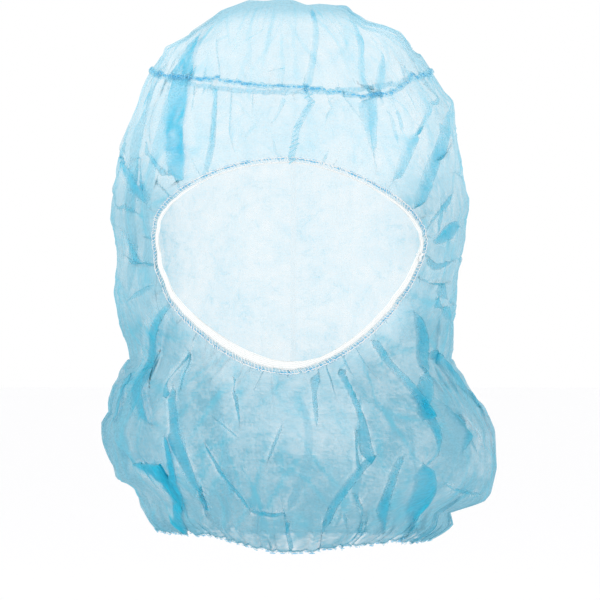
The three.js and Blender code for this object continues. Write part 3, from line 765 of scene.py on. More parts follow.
def makeObject(name, points, faces, uv=None, values=None, material=None):
    mesh = bpy.data.meshes.new(name)
    mesh.from_pydata((np.asarray(points) * metre).tolist(), [], faces)
    if uv is not None:
        corners = np.empty(len(mesh.loops), int)
        mesh.loops.foreach_get("vertex_index", corners)
        layer = mesh.uv_layers.new(name="sheet")
        layer.data.foreach_set("uv", (np.asarray(uv)[corners] * metre).ravel())
    for key, column in (values or {}).items():
        mesh.attributes.new(key, "FLOAT", "POINT").data.foreach_set("value", np.asarray(column, "f"))
    mesh.polygons.foreach_set("use_smooth", [True] * len(mesh.polygons))
    mesh.update()
    if material:
        mesh.materials.append(material)
    obj = bpy.data.objects.new(name, mesh)
    bpy.context.scene.collection.objects.link(obj)
    return obj


def gridFaces(ids):
    # quads between the rows of a grid of point numbers that closes sideways
    beside = np.roll(ids, -1, 1)
    return np.stack([ids[:-1], ids[1:], beside[1:], beside[:-1]], -1)


def clothValues(points, layers, sharp):
    return {"looseAndShade": loosenessAndShade(points), "layers": layers, "crease": sharp, "dense": thickness(points)}


bodyGrid = {  # columns and rows of the mesh
    "faceColumns": 168,
    "sideColumns": 92,
    "backColumns": 112,
    "back": (104, 256),  # degrees between which the back columns lie
    "browRows": 68,
    "chinRows": 122,
}
crownGrid = {"rows": 66, "lastAt": 0.12, "crowding": 0.85}


def makeColumns():
    # angles round the head, with how far across the opening the front ones are
    even = np.linspace(-1, 1, bodyGrid["faceColumns"] + 1)
    across = 0.25 * even + 0.75 * np.sin(even * math.pi / 2)  # closer together at the corners
    backFrom, backTo = bodyGrid["back"]
    side = np.linspace(corner, backFrom, bodyGrid["sideColumns"] + 1)
    behind = np.linspace(backFrom, backTo, bodyGrid["backColumns"] + 1)[1:-1]
    rest = np.concatenate([side[1:], behind, 360 - side[:0:-1]])
    across, beyond = np.concatenate([across, np.full(len(rest), np.nan)]), rest
    return np.concatenate([openingAngle(across[:len(even)]), beyond]), across


columnAngles, columnAcross = makeColumns()


def bodyMesh():
    isOpen = np.abs(np.nan_to_num(columnAcross, nan=2)) < 1 - 1e-9
    across = np.nan_to_num(columnAcross)
    upperZ, lowerZ = (
        np.where(isOpen, openingEdge(across, upper), opening["cornerZ"]) for upper in (True, False)
    )
    upRows, downRows = bodyGrid["browRows"], bodyGrid["chinRows"]
    up, down = (np.linspace(0, 1, count + 1)[:, None] for count in (upRows, downRows))
    rows = np.concatenate([seamLevel + (upperZ - seamLevel) * up, lowerZ + (hemLevel - lowerZ) * down])
    angles = np.broadcast_to(columnAngles, rows.shape)
    points, layers, sharp = clothPoint(angles, sectionAt(rows))
    ids = np.arange(rows.size).reshape(rows.shape)
    ids[upRows + 1] = np.where(isOpen, ids[upRows + 1], ids[upRows])
    faces = np.delete(gridFaces(ids), upRows, 0)
    used, faces = np.unique(faces, return_inverse=True)
    uv = np.stack([turned(angles) * sheetPerDegree, rows], -1).reshape(-1, 2)[used]
    points = points.reshape(-1, 3)[used]
    values = clothValues(points, layers.ravel()[used], sharp.ravel()[used])
    return makeObject("hoodBody", points, faces.reshape(-1, 4).tolist(), uv, values)


def crownMesh():
    share = np.linspace(0, 1, crownGrid["rows"])[:, None] ** crownGrid["crowding"]
    rows = form["seamAt"] + (crownGrid["lastAt"] - form["seamAt"]) * share
    rows = np.broadcast_to(rows, (crownGrid["rows"], len(columnAngles)))
    angles = np.broadcast_to(columnAngles, rows.shape)
    points, layers, sharp = clothPoint(angles, rows)
    ids = np.arange(rows.size).reshape(rows.shape)
    faces = gridFaces(ids).reshape(-1, 4)[:, [1, 0, 3, 2]].tolist()
    faces += [(rows.size, a, b) for a, b in zip(ids[-1], np.roll(ids[-1], -1))]
    points = np.concatenate([points.reshape(-1, 3), points[-1].mean(0)[None]])
    values = clothValues(points, np.append(layers, 0), np.append(sharp, 0))
    return makeObject("crownPanel", points, faces, points[:, :2], values)


def addNode(tree, kind, links=None, **settings):
    # links: input name or number to a value, a socket, or a node for its first output in use
    node = tree.nodes.new(kind)
    for key, value in settings.items():
        setattr(node, key, value)
    for key, value in (links or {}).items():
        if isinstance(value, bpy.types.Node):
            value = next(output for output in value.outputs if output.enabled)
        if isinstance(value, bpy.types.NodeSocket):
            tree.links.new(value, node.inputs[key])
        else:
            node.inputs[key].default_value = value
    return node


def newMaterial(name):
    material = bpy.data.materials.new(name)
    material.use_nodes = True
    material.node_tree.nodes.clear()
    return material, material.node_tree


clothLook = {
    "taut": "#c2ecfa",  # colour of one layer stretched over the head
    "tautFold": "#3fcdea",  # and of its folds
    # The hanging colour is greyed, and fullCover below is raised, as painted shade where the cloth hangs low
    # and at the sides.
    "hanging": "#80b8ca",  # where the cloth hangs full
    "hangingFold": "#22c9e4",
    "layerDepth": 0.24,  # how far each layer folded in takes the one colour to the other
    "creaseDepth": 0.6,  # and how far a crease does
    "tautCover": 0.2,  # share of the light one layer stops where it is stretched
    "fullCover": 0.78,  # and where it hangs full
    "tautFoldCover": -0.02,  # more for each layer folded in
    "fullFoldCover": -0.14,
    "turnCover": 0.62,  # how much of that is left where a fold turns over
    "tautCreaseCover": 0.65,  # more along a crease
    "fullCreaseCover": 0.36,
    "lineCover": 0.12,  # more along a line left from packing
    "through": 0.42,  # share of the stopped light that glows through the filaments
    "paleness": 0.75,  # power that makes that light paler than the cloth
    "patchSize": 24.0,  # mm, where the web is laid thicker and thinner
    "cloudSize": 6.0,  # mm
    "fibreSize": 0.9,  # mm
    "bondPitch": 1.8,  # mm between the points that bond the web, drawn coarser than the real 1 mm
    "webSize": 16.0,  # mm between the sharp lines left from packing
    "webLine": 0.04,  # their breadth, as a share of that
    "webBend": 0.012,  # how far they wander
    "reliefHeight": 0.4,  # mm
    "grains": {  # the least and the most that each makes of the cover
        "patch": (0.74, 1.22),
        "cloud": (0.76, 1.22),
        "fibre": (0.84, 1.16),
        "bond": (0.88, 1.04),
    },
}


def spunbondCloth():
    # spunbond polypropylene: filaments laid at random and bonded in points, so it is cloudy,
    # thin and see-through, and turns a stronger blue where it lies in several layers
    material, tree = newMaterial("spunbondPolypropylene")
    look = clothLook
    uv = addNode(tree, "ShaderNodeUVMap", uv_map="sheet")
    looseAndShade, layers, crease, dense = (
        addNode(tree, "ShaderNodeAttribute", attribute_name=name).outputs["Fac"]
        for name in ("looseAndShade", "layers", "crease", "dense")
    )
    sizes = ("patchSize", "cloudSize", "fibreSize", "bondPitch", "webSize")
    patch, cloud, fibre, bond, web = (1 / (look[key] * metre) for key in sizes)
    patch = {"Vector": uv, "Scale": patch, "Detail": 3.0, "Distortion": 0.6}
    patch = addNode(tree, "ShaderNodeTexNoise", patch)
    bend = addNode(tree, "ShaderNodeTexNoise", {"Vector": uv, "Scale": web, "Detail": 2.0})
    bent = {"Factor": look["webBend"], "A": uv, "B": bend.outputs["Color"]}
    bent = addNode(tree, "ShaderNodeMix", bent, data_type="VECTOR")
    web = {"Vector": bent, "Scale": web, "Randomness": 1.0}
    web = addNode(tree, "ShaderNodeTexVoronoi", web, feature="DISTANCE_TO_EDGE")
    line = {"Value": web, "From Min": 0.0, "From Max": look["webLine"], "To Min": 1.0, "To Max": 0.0}
    line = addNode(tree, "ShaderNodeMapRange", line)
    cloud = {"Vector": uv, "Scale": cloud, "Detail": 4.0, "Roughness": 0.62}
    cloud = addNode(tree, "ShaderNodeTexNoise", cloud)
    broken = addNode(tree, "ShaderNodeMapRange", {"Value": cloud, "From Min": 0.42, "From Max": 0.62})
    line = addNode(tree, "ShaderNodeMath", {0: line, 1: broken}, operation="MULTIPLY")
    drawn = addNode(tree, "ShaderNodeMapping", {"Vector": uv, "Scale": (0.45, 1.0, 1.0)})
    fibre = {"Vector": drawn, "Scale": fibre, "Detail": 2.0, "Distortion": 0.8}
    fibre = addNode(tree, "ShaderNodeTexNoise", fibre)
    bond = addNode(tree, "ShaderNodeTexVoronoi", {"Vector": uv, "Scale": bond, "Randomness": 0.35})

    # how much of the light it stops
    # Cover rises with how full the cloth hangs, a value that also paints shade, so the cloth is denser at
    # the sides and under the chin.
    cover = {"Value": looseAndShade, "To Min": look["tautCover"], "To Max": look["fullCover"]}
    cover = addNode(tree, "ShaderNodeMapRange", cover)
    cover = addNode(tree, "ShaderNodeMath", {0: cover, 1: dense}, operation="ADD")
    folded = {"Value": looseAndShade, "To Min": look["tautFoldCover"], "To Max": look["fullFoldCover"]}
    folded = addNode(tree, "ShaderNodeMapRange", folded)
    cover = addNode(tree, "ShaderNodeMath", {0: layers, 1: folded, 2: cover}, operation="MULTIPLY_ADD")
    turning = addNode(tree, "ShaderNodeMath", {0: 2.0, 1: layers}, operation="SUBTRACT")
    turning = {0: turning, 1: layers}
    turning = addNode(tree, "ShaderNodeMath", turning, operation="MULTIPLY", use_clamp=True)
    turning = {"Value": turning, "To Min": 1.0, "To Max": look["turnCover"]}
    turning = addNode(tree, "ShaderNodeMapRange", turning)
    cover = addNode(tree, "ShaderNodeMath", {0: cover, 1: turning}, operation="MULTIPLY")
    creased = {"Value": looseAndShade, "To Min": look["tautCreaseCover"], "To Max": look["fullCreaseCover"]}
    creased = addNode(tree, "ShaderNodeMapRange", creased)
    for share, amount in ((crease, creased), (line, look["lineCover"])):
        cover = {0: share, 1: amount, 2: cover}
        cover = addNode(tree, "ShaderNodeMath", cover, operation="MULTIPLY_ADD")
    for name, source in (("patch", patch), ("cloud", cloud), ("fibre", fibre), ("bond", bond)):
        low, high = (0.1, 0.45) if name == "bond" else (0.3, 0.7)
        least, most = look["grains"][name]
        grain = {"Value": source, "From Min": low, "From Max": high, "To Min": least, "To Max": most}
        grain = addNode(tree, "ShaderNodeMapRange", grain)
        cover = addNode(tree, "ShaderNodeMath", {0: cover, 1: grain}, operation="MULTIPLY")
    cover = addNode(tree, "ShaderNodeClamp", {"Value": cover})

    # its colour and relief
    # The two colours are mixed by how full the cloth hangs, a value that also paints shade: greyer at the
    # sides and under the chin, lighter on the taut front and top.
    single = {"Factor": looseAndShade, "A": linearColour(look["taut"]), "B": linearColour(look["hanging"])}
    single = addNode(tree, "ShaderNodeMix", single, data_type="RGBA")
    several = {"Factor": looseAndShade, "A": linearColour(look["tautFold"]), "B": linearColour(look["hangingFold"])}
    several = addNode(tree, "ShaderNodeMix", several, data_type="RGBA")
    deep = addNode(tree, "ShaderNodeMath", {0: crease, 1: look["creaseDepth"]}, operation="MULTIPLY")
    deep = {0: layers, 1: look["layerDepth"], 2: deep}
    deep = addNode(tree, "ShaderNodeMath", deep, operation="MULTIPLY_ADD", use_clamp=True)
    colour = addNode(tree, "ShaderNodeMix", {"Factor": deep, "A": single, "B": several}, data_type="RGBA")
    relief = addNode(tree, "ShaderNodeMath", {0: line, 1: 0.6, 2: cloud}, operation="MULTIPLY_ADD")
    relief = addNode(tree, "ShaderNodeMath", {0: relief, 1: fibre}, operation="ADD")
    bumps = {"Height": relief, "Distance": look["reliefHeight"] * metre, "Strength": 0.4}
    bumps = addNode(tree, "ShaderNodeBump", bumps)
    face = {"Base Color": colour, "Roughness": 0.62, "IOR": 1.49, "Normal": bumps}
    face = addNode(tree, "ShaderNodeBsdfPrincipled", face)
    pale = addNode(tree, "ShaderNodeGamma", {"Color": colour, "Gamma": look["paleness"]})
    glow = addNode(tree, "ShaderNodeBsdfTranslucent", {"Color": pale, "Normal": bumps})
    cloth = addNode(tree, "ShaderNodeMixShader", {0: look["through"], 1: face, 2: glow})
    clear = addNode(tree, "ShaderNodeBsdfTransparent")
    both = addNode(tree, "ShaderNodeMixShader", {0: cover, 1: clear, 2: cloth})
    addNode(tree, "ShaderNodeOutputMaterial", {"Surface": both})
    return material


def plainMaterial(name, code, roughness):
    material, tree = newMaterial(name)
    base = {"Base Color": linearColour(code), "Roughness": roughness}
    shader = addNode(tree, "ShaderNodeBsdfPrincipled", base)
    addNode(tree, "ShaderNodeOutputMaterial", {"Surface": shader})
    return material


print("cloth")
cloth = spunbondCloth()
body = bodyMesh()
crown = crownMesh()

# For a row of stitches: millimetres between them, their reach across the seam, their rise and the
# thread's radius, degrees of slant, and how far they differ. For a row of small tucks of cloth
# caught in a seam: their length, width and thickness. Both are shifted across and outward.
faceTrim = {
    "thick": 1.1,
    "inset": 0.4,  # how far the elastic lies out over the cloth's edge
    "widths": [  # by direction from the middle of the opening, 0 at its left corner, 90 up
        (0, 2.8), (40, 0.9), (90, 0.7), (140, 0.9), (180, 2.8), (215, 4.2), (250, 4.8),
        (272, 4.2), (288, 2.4), (310, 2.6), (335, 3.0), (360, 3.0),
    ],
    "wave": {"height": 0.35, "pitch": 16, "step": 1.2, "seed": 5},  # in and out of the cloth
    "stitches": {"pitch": 1.7, "reach": 2.6, "rise": 0.5, "thread": 0.15, "slant": 24,
                 "unevenness": 0.22, "shift": (-0.9, 0.4), "seed": 3},
    "chain": {"pitch": 1.3, "reach": 1.7, "rise": 0.4, "thread": 0.24, "slant": 72,
              "unevenness": 0.15, "shift": (-2.2, 0.5), "seed": 12},
    "tucks": {"pitch": 2.1, "long": 2.3, "wide": 1.1, "thick": 0.4,
              "unevenness": 0.6, "shift": (-2.0, 0.5), "seed": 8},
}
elasticLook = {
    "bright": "#fbfcfb",
    "dark": "#dfe6e6",
    "ribPitch": 0.9,  # mm between the rubber cores that run along it
    "yarnScale": 1400.0,
}
bandProfile = [  # across a band and out of it, once round
    (0, -0.5), (0.25, -0.9), (0.75, -0.9), (1, -0.5), (1, 0.5), (0.75, 0.9), (0.25, 0.9), (0, 0.5),
]


def closedTangents(loop):
    return unit(np.roll(loop, -1, 0) - np.roll(loop, 1, 0))


def faceLoop():
    # the opening's edge, once round, with the cloth's normal there
    front = np.abs(np.nan_to_num(columnAcross, nan=2)) <= 1
    across, angles = columnAcross[front], columnAngles[front]
    upper, upperNormal = formFrame(angles, sectionAt(openingEdge(across, True)))[:2]
    lower, lowerNormal = formFrame(angles, sectionAt(openingEdge(across, False)))[:2]
    loop = np.concatenate([upper[:-1], lower[:0:-1]])
    normals = np.concatenate([upperNormal[:-1], lowerNormal[:0:-1]])
    wave = faceTrim["wave"]
    away = ripple(np.arange(len(loop)) * wave["step"], wave["pitch"], wave["seed"]) * wave["height"]
    return loop + normals * away[:, None], normals


def clothLine(angle, at):
    # points of the finished cloth along a line of its sheet, and the form's directions there
    return clothPoint(angle, at)[0], *formFrame(angle, at)[1:]


def ribbon(name, points, normals, outward, width, size, material, closed=True):
    # a flat band: points along it, its flat side's normals, and the direction it reaches
    count, sides = len(points), len(bandProfile)
    rings = [
        points + outward * (u * width)[:, None] + normals * (lift * size["thick"] / 2)
        for u, lift in bandProfile
    ]
    steps = np.linalg.norm(np.diff(points, axis=0, append=points[:1]), axis=1)
    along = np.concatenate([[0], np.cumsum(steps)[:-1]])
    across = np.tile([u for u, _ in bandProfile], count) * np.repeat(width, sides)
    uv = np.stack([np.repeat(along, sides), across], -1)
    ids = np.arange(count * sides).reshape(count, sides)
    faces = gridFaces(np.concatenate([ids, ids[:1]]) if closed else ids)
    faces = faces.reshape(-1, 4).tolist() + ([] if closed else [ids[0].tolist(), ids[-1, ::-1].tolist()])
    even = np.ones(ids.size)
    values = {"looseAndShade": size.get("looseAndShade", 0) * even, "layers": even, "crease": size.get("crease", 0) * even}
    return makeObject(name, np.stack(rings, 1).reshape(-1, 3), faces, uv, values, material)


def knittedElastic():
    # knitted elastic: white textured yarn over rubber cores, matt, with fine ribs along it
    material, tree = newMaterial("knittedRubberElastic")
    look = elasticLook
    uv = addNode(tree, "ShaderNodeUVMap", uv_map="sheet")
    split = addNode(tree, "ShaderNodeSeparateXYZ", {"Vector": uv})
    ribs = {0: split.outputs["Y"], 1: 2 * math.pi / (look["ribPitch"] * metre)}
    ribs = addNode(tree, "ShaderNodeMath", ribs, operation="MULTIPLY")
    ribs = addNode(tree, "ShaderNodeMath", {0: ribs}, operation="SINE")
    yarn = addNode(tree, "ShaderNodeTexNoise", {"Vector": uv, "Scale": look["yarnScale"], "Detail": 2.0})
    relief = addNode(tree, "ShaderNodeMath", {0: ribs, 1: 0.5, 2: yarn}, operation="MULTIPLY_ADD")
    # The grooves between the ribs are painted darker, as shade, and the yarn noise varies the tone at
    # random.
    light = addNode(tree, "ShaderNodeMapRange", {"Value": relief, "From Min": -0.3, "From Max": 0.7})
    colour = {"Factor": light, "A": linearColour(look["dark"]), "B": linearColour(look["bright"])}
    colour = addNode(tree, "ShaderNodeMix", colour, data_type="RGBA")
    bumps = addNode(tree, "ShaderNodeBump", {"Height": relief, "Distance": 0.0003, "Strength": 0.6})
    shader = {"Base Color": colour, "Roughness": 0.85, "IOR": 1.5, "Normal": bumps}
    shader = addNode(tree, "ShaderNodeBsdfPrincipled", shader)
    addNode(tree, "ShaderNodeOutputMaterial", {"Surface": shader})
    return material


def spunThread(name, code):
    # textured polyester thread: fine matt filaments that spread a little where they loop
    material, tree = newMaterial(name)
    place = addNode(tree, "ShaderNodeTexCoord").outputs["Object"]
    fluff = addNode(tree, "ShaderNodeTexNoise", {"Vector": place, "Scale": 2500.0, "Detail": 1.0})
    bright = linearColour(code)
    colour = {"Factor": fluff, "A": [0.8 * c for c in bright[:3]] + [1], "B": bright}
    colour = addNode(tree, "ShaderNodeMix", colour, data_type="RGBA")
    bumps = addNode(tree, "ShaderNodeBump", {"Height": fluff, "Distance": 0.0001, "Strength": 0.5})
    shader = {"Base Color": colour, "Roughness": 0.7, "IOR": 1.5, "Normal": bumps}
    shader = addNode(tree, "ShaderNodeBsdfPrincipled", shader)
    addNode(tree, "ShaderNodeOutputMaterial", {"Surface": shader})
    return material


def caughtFabric():
    # spunbond cloth bunched in a seam: many layers pressed together, nearly opaque and deep blue
    material, tree = newMaterial("bunchedSpunbond")
    place = addNode(tree, "ShaderNodeTexCoord").outputs["Object"]
    crumpled = addNode(tree, "ShaderNodeTexNoise", {"Vector": place, "Scale": 900.0, "Detail": 2.0})
    colour = {"Factor": crumpled, "A": linearColour("#4ac7ee"), "B": linearColour("#a6e3f7")}
    colour = addNode(tree, "ShaderNodeMix", colour, data_type="RGBA")
    face = addNode(tree, "ShaderNodeBsdfPrincipled", {"Base Color": colour, "Roughness": 0.7})
    glow = addNode(tree, "ShaderNodeBsdfTranslucent", {"Color": colour})
    bunch = addNode(tree, "ShaderNodeMixShader", {0: 0.5, 1: face, 2: glow})
    clear = addNode(tree, "ShaderNodeBsdfTransparent")
    cover = addNode(tree, "ShaderNodeMapRange", {"Value": crumpled, "To Min": 0.4, "To Max": 0.85})
    both = addNode(tree, "ShaderNodeMixShader", {0: cover, 1: clear, 2: bunch})
    addNode(tree, "ShaderNodeOutputMaterial", {"Surface": both})
    return material


def evenly(columns, pitch, closed):
    # a line of points at even steps, with the directions that go with its points
    if closed:
        columns = [np.concatenate([column, column[:1]]) for column in columns]
    along = np.concatenate([[0], np.cumsum(np.linalg.norm(np.diff(columns[0], axis=0), axis=1))])
    count = max(2, int(round(along[-1] / pitch)))
    wanted = np.linspace(0, along[-1], count, endpoint=not closed)
    points, *sides = (
        np.stack([np.interp(wanted, along, column[:, k]) for k in range(3)], -1) for column in columns
    )
    return points, *(unit(side) for side in sides)


def sewingTree(name, isThread):
    # instances one stitch or one tuck of cloth on each guide point, turned to lie across the seam
    tree = bpy.data.node_groups.new(name, "GeometryNodeTree")
    tree.interface.new_socket("Guide", in_out="INPUT", socket_type="NodeSocketGeometry")
    sizes = ("Reach", "Rise", "Thread") if isThread else ("Long", "Wide", "Thick")
    for label in sizes + ("Slant", "Unevenness"):
        tree.interface.new_socket(label, in_out="INPUT", socket_type="NodeSocketFloat")
    tree.interface.new_socket("Seed", in_out="INPUT", socket_type="NodeSocketInt")
    tree.interface.new_socket("Finish", in_out="INPUT", socket_type="NodeSocketMaterial")
    tree.interface.new_socket("Sewing", in_out="OUTPUT", socket_type="NodeSocketGeometry")
    given = addNode(tree, "NodeGroupInput").outputs
    if isThread:
        half = addNode(tree, "ShaderNodeMath", {0: given["Reach"], 1: 0.5}, operation="MULTIPLY")
        back = addNode(tree, "ShaderNodeMath", {0: given["Reach"], 1: -0.5}, operation="MULTIPLY")
        rise = {"Z": given["Rise"]}
        ends = {"Start": {"X": back}, "Start Handle": {"X": back} | rise,
                "End Handle": {"X": half} | rise, "End": {"X": half}}
        arc = {key: addNode(tree, "ShaderNodeCombineXYZ", parts) for key, parts in ends.items()}
        arc = addNode(tree, "GeometryNodeCurvePrimitiveBezierSegment", {"Resolution": 5} | arc)
        ring = {"Resolution": 4, "Radius": given["Thread"]}
        ring = addNode(tree, "GeometryNodeCurvePrimitiveCircle", ring)
        shape = {"Curve": arc, "Profile Curve": ring, "Fill Caps": True}
        shape = addNode(tree, "GeometryNodeCurveToMesh", shape)
    else:
        ball = addNode(tree, "GeometryNodeMeshIcoSphere", {"Radius": 0.5, "Subdivisions": 2})
        scale = {"X": given["Wide"], "Y": given["Long"], "Z": given["Thick"]}
        scale = addNode(tree, "ShaderNodeCombineXYZ", scale)
        shape = addNode(tree, "GeometryNodeTransform", {"Geometry": ball, "Scale": scale})
    across, outward = (
        addNode(tree, "GeometryNodeInputNamedAttribute", {"Name": key}, data_type="FLOAT_VECTOR")
        for key in ("across", "outward")
    )
    lie = {"Primary Axis": across, "Secondary Axis": outward}
    lie = addNode(tree, "FunctionNodeAxesToRotation", lie, primary_axis="X", secondary_axis="Z")
    swing = {2: 0.55, 3: 1.45, "Seed": given["Seed"]}
    swing = addNode(tree, "FunctionNodeRandomValue", swing, data_type="FLOAT")
    for factor in (given["Slant"], math.pi / 180):
        swing = addNode(tree, "ShaderNodeMath", {0: swing, 1: factor}, operation="MULTIPLY")
    swing = addNode(tree, "ShaderNodeCombineXYZ", {"Z": swing})
    swing = addNode(tree, "FunctionNodeEulerToRotation", {"Euler": swing})
    lie = {"Rotation": lie, "Rotate By": swing}
    lie = addNode(tree, "FunctionNodeRotateRotation", lie, rotation_space="LOCAL")
    least = addNode(tree, "ShaderNodeMath", {0: 1.0, 1: given["Unevenness"]}, operation="SUBTRACT")
    most = addNode(tree, "ShaderNodeMath", {0: 1.0, 1: given["Unevenness"]}, operation="ADD")
    dice = addNode(tree, "ShaderNodeMath", {0: given["Seed"], 1: 7.0}, operation="ADD")
    scale = {2: least, 3: most, "Seed": dice}
    scale = addNode(tree, "FunctionNodeRandomValue", scale, data_type="FLOAT")
    sewing = {"Points": given["Guide"], "Instance": shape, "Rotation": lie, "Scale": scale}
    sewing = addNode(tree, "GeometryNodeInstanceOnPoints", sewing)
    sewing = addNode(tree, "GeometryNodeRealizeInstances", {"Geometry": sewing})
    sewing = addNode(tree, "GeometryNodeSetMaterial", {"Geometry": sewing, "Material": given["Finish"]})
    addNode(tree, "NodeGroupOutput", {"Sewing": sewing})
    return tree


stitchTree = sewingTree("overlockStitches", True)
tuckTree = sewingTree("caughtCloth", False)
lengths = ("Reach", "Rise", "Thread", "Long", "Wide", "Thick")


def sewAlong(name, tree, line, row, finish, closed=True):
    # runs a sewing tree along a line with its directions, and keeps the result as a plain mesh
    points, across, outward = evenly(line, row["pitch"], closed)
    here = points[:, 1] < row.get("frontOf", math.inf)
    points = points + across * row["shift"][0] + outward * row["shift"][1]
    guide = makeObject(name + "Guide", points[here], [])
    directions = {"across": across, "outward": outward}
    for key, column in directions.items():
        attribute = guide.data.attributes.new(key, "FLOAT_VECTOR", "POINT")
        attribute.data.foreach_set("vector", column[here].ravel().astype("f"))
    modifier = guide.modifiers.new("sewing", "NODES")
    modifier.node_group = tree
    given = {"Finish": finish, "Slant": 0.0} | {key.capitalize(): value for key, value in row.items()}
    for socket in tree.interface.items_tree:
        if socket.in_out == "INPUT" and socket.name in given:
            value = given[socket.name]
            modifier[socket.identifier] = value * metre if socket.name in lengths else value
    depsgraph = bpy.context.evaluated_depsgraph_get()
    mesh = bpy.data.meshes.new_from_object(guide.evaluated_get(depsgraph), depsgraph=depsgraph)
    bpy.data.objects.remove(guide)
    mesh.name = name
    piece = bpy.data.objects.new(name, mesh)
    bpy.context.scene.collection.objects.link(piece)
    for key in directions:
        if key in mesh.attributes:
            mesh.attributes.remove(mesh.attributes[key])
    return piece


print("elastic and seams")
elastic = knittedElastic()
whiteThread = spunThread("whitePolyesterThread", "#f7fafb")
blueThread = spunThread("bluePolyesterThread", "#a8e3f5")
bunched = caughtFabric()

loop, loopNormals = faceLoop()
inward = unit(-np.cross(loopNormals, closedTangents(loop)))
direction = np.degrees(np.arctan2(loop[:, 2] - openingMiddle, loop[:, 0])) % 360
elasticWidth = np.interp(direction, *zip(*faceTrim["widths"]))
faceElastic = ribbon("faceElastic", loop - inward * faceTrim["inset"], loopNormals, inward,
                     elasticWidth, faceTrim, elastic)
line = (loop, inward, loopNormals)
faceStitches = sewAlong("faceStitches", stitchTree, line, faceTrim["stitches"], whiteThread)
faceChain = sewAlong("faceChain", stitchTree, line, faceTrim["chain"], whiteThread)
faceGathers = sewAlong("faceGathers", tuckTree, line, faceTrim["tucks"], bunched)

crownTrim = {
    "width": 2.8,
    "thick": 0.5,
    "lift": 0.3,
    "uneven": {"share": 0.3, "pitch": 9, "seed": 6},  # of its width
    "looseAndShade": 0.1,
    "crease": 0.22,
    "stitches": {"pitch": 3.0, "reach": 2.2, "rise": 0.5, "thread": 0.14, "slant": 35,
                 "unevenness": 0.3, "shift": (0, 0.6), "seed": 4},
    "tucks": {"pitch": 2.9, "long": 2.4, "wide": 1.1, "thick": 0.3,
              "unevenness": 0.6, "shift": (0, 0.5), "seed": 9,
              "frontOf": 25},  # the seam is gathered round the front and the sides only
}
points, normals, down, _ = clothLine(columnAngles, np.full_like(columnAngles, form["seamAt"]))
uneven = crownTrim["uneven"]
wave = ripple(columnAngles * sheetPerDegree, uneven["pitch"], uneven["seed"])
width = crownTrim["width"] * (1 + uneven["share"] * wave)
crownSeam = ribbon("crownSeam", points - down * (width / 2)[:, None] + normals * crownTrim["lift"],
                   normals, down, width, crownTrim, cloth)
line = (points, down, normals)
crownStitches = sewAlong("crownStitches", stitchTree, line, crownTrim["stitches"], blueThread)
crownGathers = sewAlong("crownGathers", tuckTree, line, crownTrim["tucks"], bunched)

browTrim = {
    "from": (6.5, -45),  # angle and height of its two ends
    "to": (0.5, -81),
    "bow": 1.3,  # degrees to the right of a straight line
    "steps": 40,
    "width": 3.4,
    "thick": 0.6,
    "lift": 0.5,
    "crease": 0.2,
    "stitches": {"pitch": 2.3, "reach": 3.6, "rise": 0.6, "thread": 0.24, "slant": 34,
                 "unevenness": 0.45, "shift": (0, 0.9), "seed": 5},
}
share = np.linspace(0, 1, browTrim["steps"])
angle, z = (a + share * (b - a) for a, b in zip(browTrim["from"], browTrim["to"]))
angle = angle - browTrim["bow"] * np.sin(share * math.pi)
points, normals, _, aside = clothLine(angle, sectionAt(z))
width = browTrim["width"]
foreheadSeam = ribbon("foreheadSeam", points - aside * width / 2 + normals * browTrim["lift"],
                      normals, aside, np.full(len(share), width), browTrim, cloth, closed=False)
foreheadStitches = sewAlong("foreheadStitches", stitchTree, (points, aside, normals), browTrim["stitches"],
                            blueThread, closed=False)

hemTrim = {
    "width": 1.4,
    "thick": 0.6,
    "rise": 0.9,  # how far above the cloth's edge it begins
    "looseAndShade": 0.9,
    "stitches": {"pitch": 2.8, "reach": 2.0, "rise": 0.5, "thread": 0.14, "slant": 30,
                 "unevenness": 0.3, "shift": (0, 0.5), "seed": 6},
    "tucks": {"pitch": 3.0, "long": 2.2, "wide": 0.6, "thick": 0.3,
              "unevenness": 0.6, "shift": (0.6, 0.5), "seed": 10},
}
points, normals, down, _ = clothLine(columnAngles, np.full_like(columnAngles, hemAt))
neckHem = ribbon("neckHem", points - down * hemTrim["rise"], normals, down,
                 np.full(len(points), hemTrim["width"]), hemTrim, cloth)
line = (points, down, normals)
hemStitches = sewAlong("hemStitches", stitchTree, line, hemTrim["stitches"], blueThread)
hemGathers = sewAlong("hemGathers", tuckTree, line, hemTrim["tucks"], bunched)

knot = {  # where the elastic's two ends meet, at the left corner of the opening
    "direction": 2,
    "shift": (0, -1.2, 0),
    "size": 0.62,
    "thick": 0.62,  # radius of its cord
    "steps": 40,
    "sides": 7,
}


def cordKnot():
    # two loops of cord that cross, thinning to a point at both ends
    turn = np.linspace(0, 2 * math.pi, knot["steps"])
    path = np.stack([1.7 * np.sin(turn) + 1.2 * np.sin(2 * turn), 0.9 * np.sin(3 * turn),
                     1.9 * np.cos(turn) - 1.3 * np.cos(2 * turn)], -1) * knot["size"]
    path = loop[np.argmin(np.abs(direction - knot["direction"]))] + knot["shift"] + path
    ahead = unit(np.gradient(path, axis=0))
    side = unit(np.cross(ahead, (0.3, 0.9, 0.2)))
    over = np.cross(side, ahead)
    around = np.arange(knot["sides"]) / knot["sides"] * 2 * math.pi
    swell = knot["thick"] * np.clip(6 * np.sin(np.linspace(0, math.pi, len(path))), 0.05, 1)
    ring = np.cos(around)[None, :, None] * side[:, None] + np.sin(around)[None, :, None] * over[:, None]
    places = path[:, None] + swell[:, None, None] * ring
    ids = np.arange(places.size // 3).reshape(places.shape[:2])
    faces = gridFaces(ids).reshape(-1, 4)[:, [0, 3, 2, 1]].tolist()
    faces += [ids[0, ::-1].tolist(), ids[-1].tolist()]
    return makeObject("elasticKnot", places.reshape(-1, 3), faces, material=whiteThread)


elasticKnot = cordKnot()

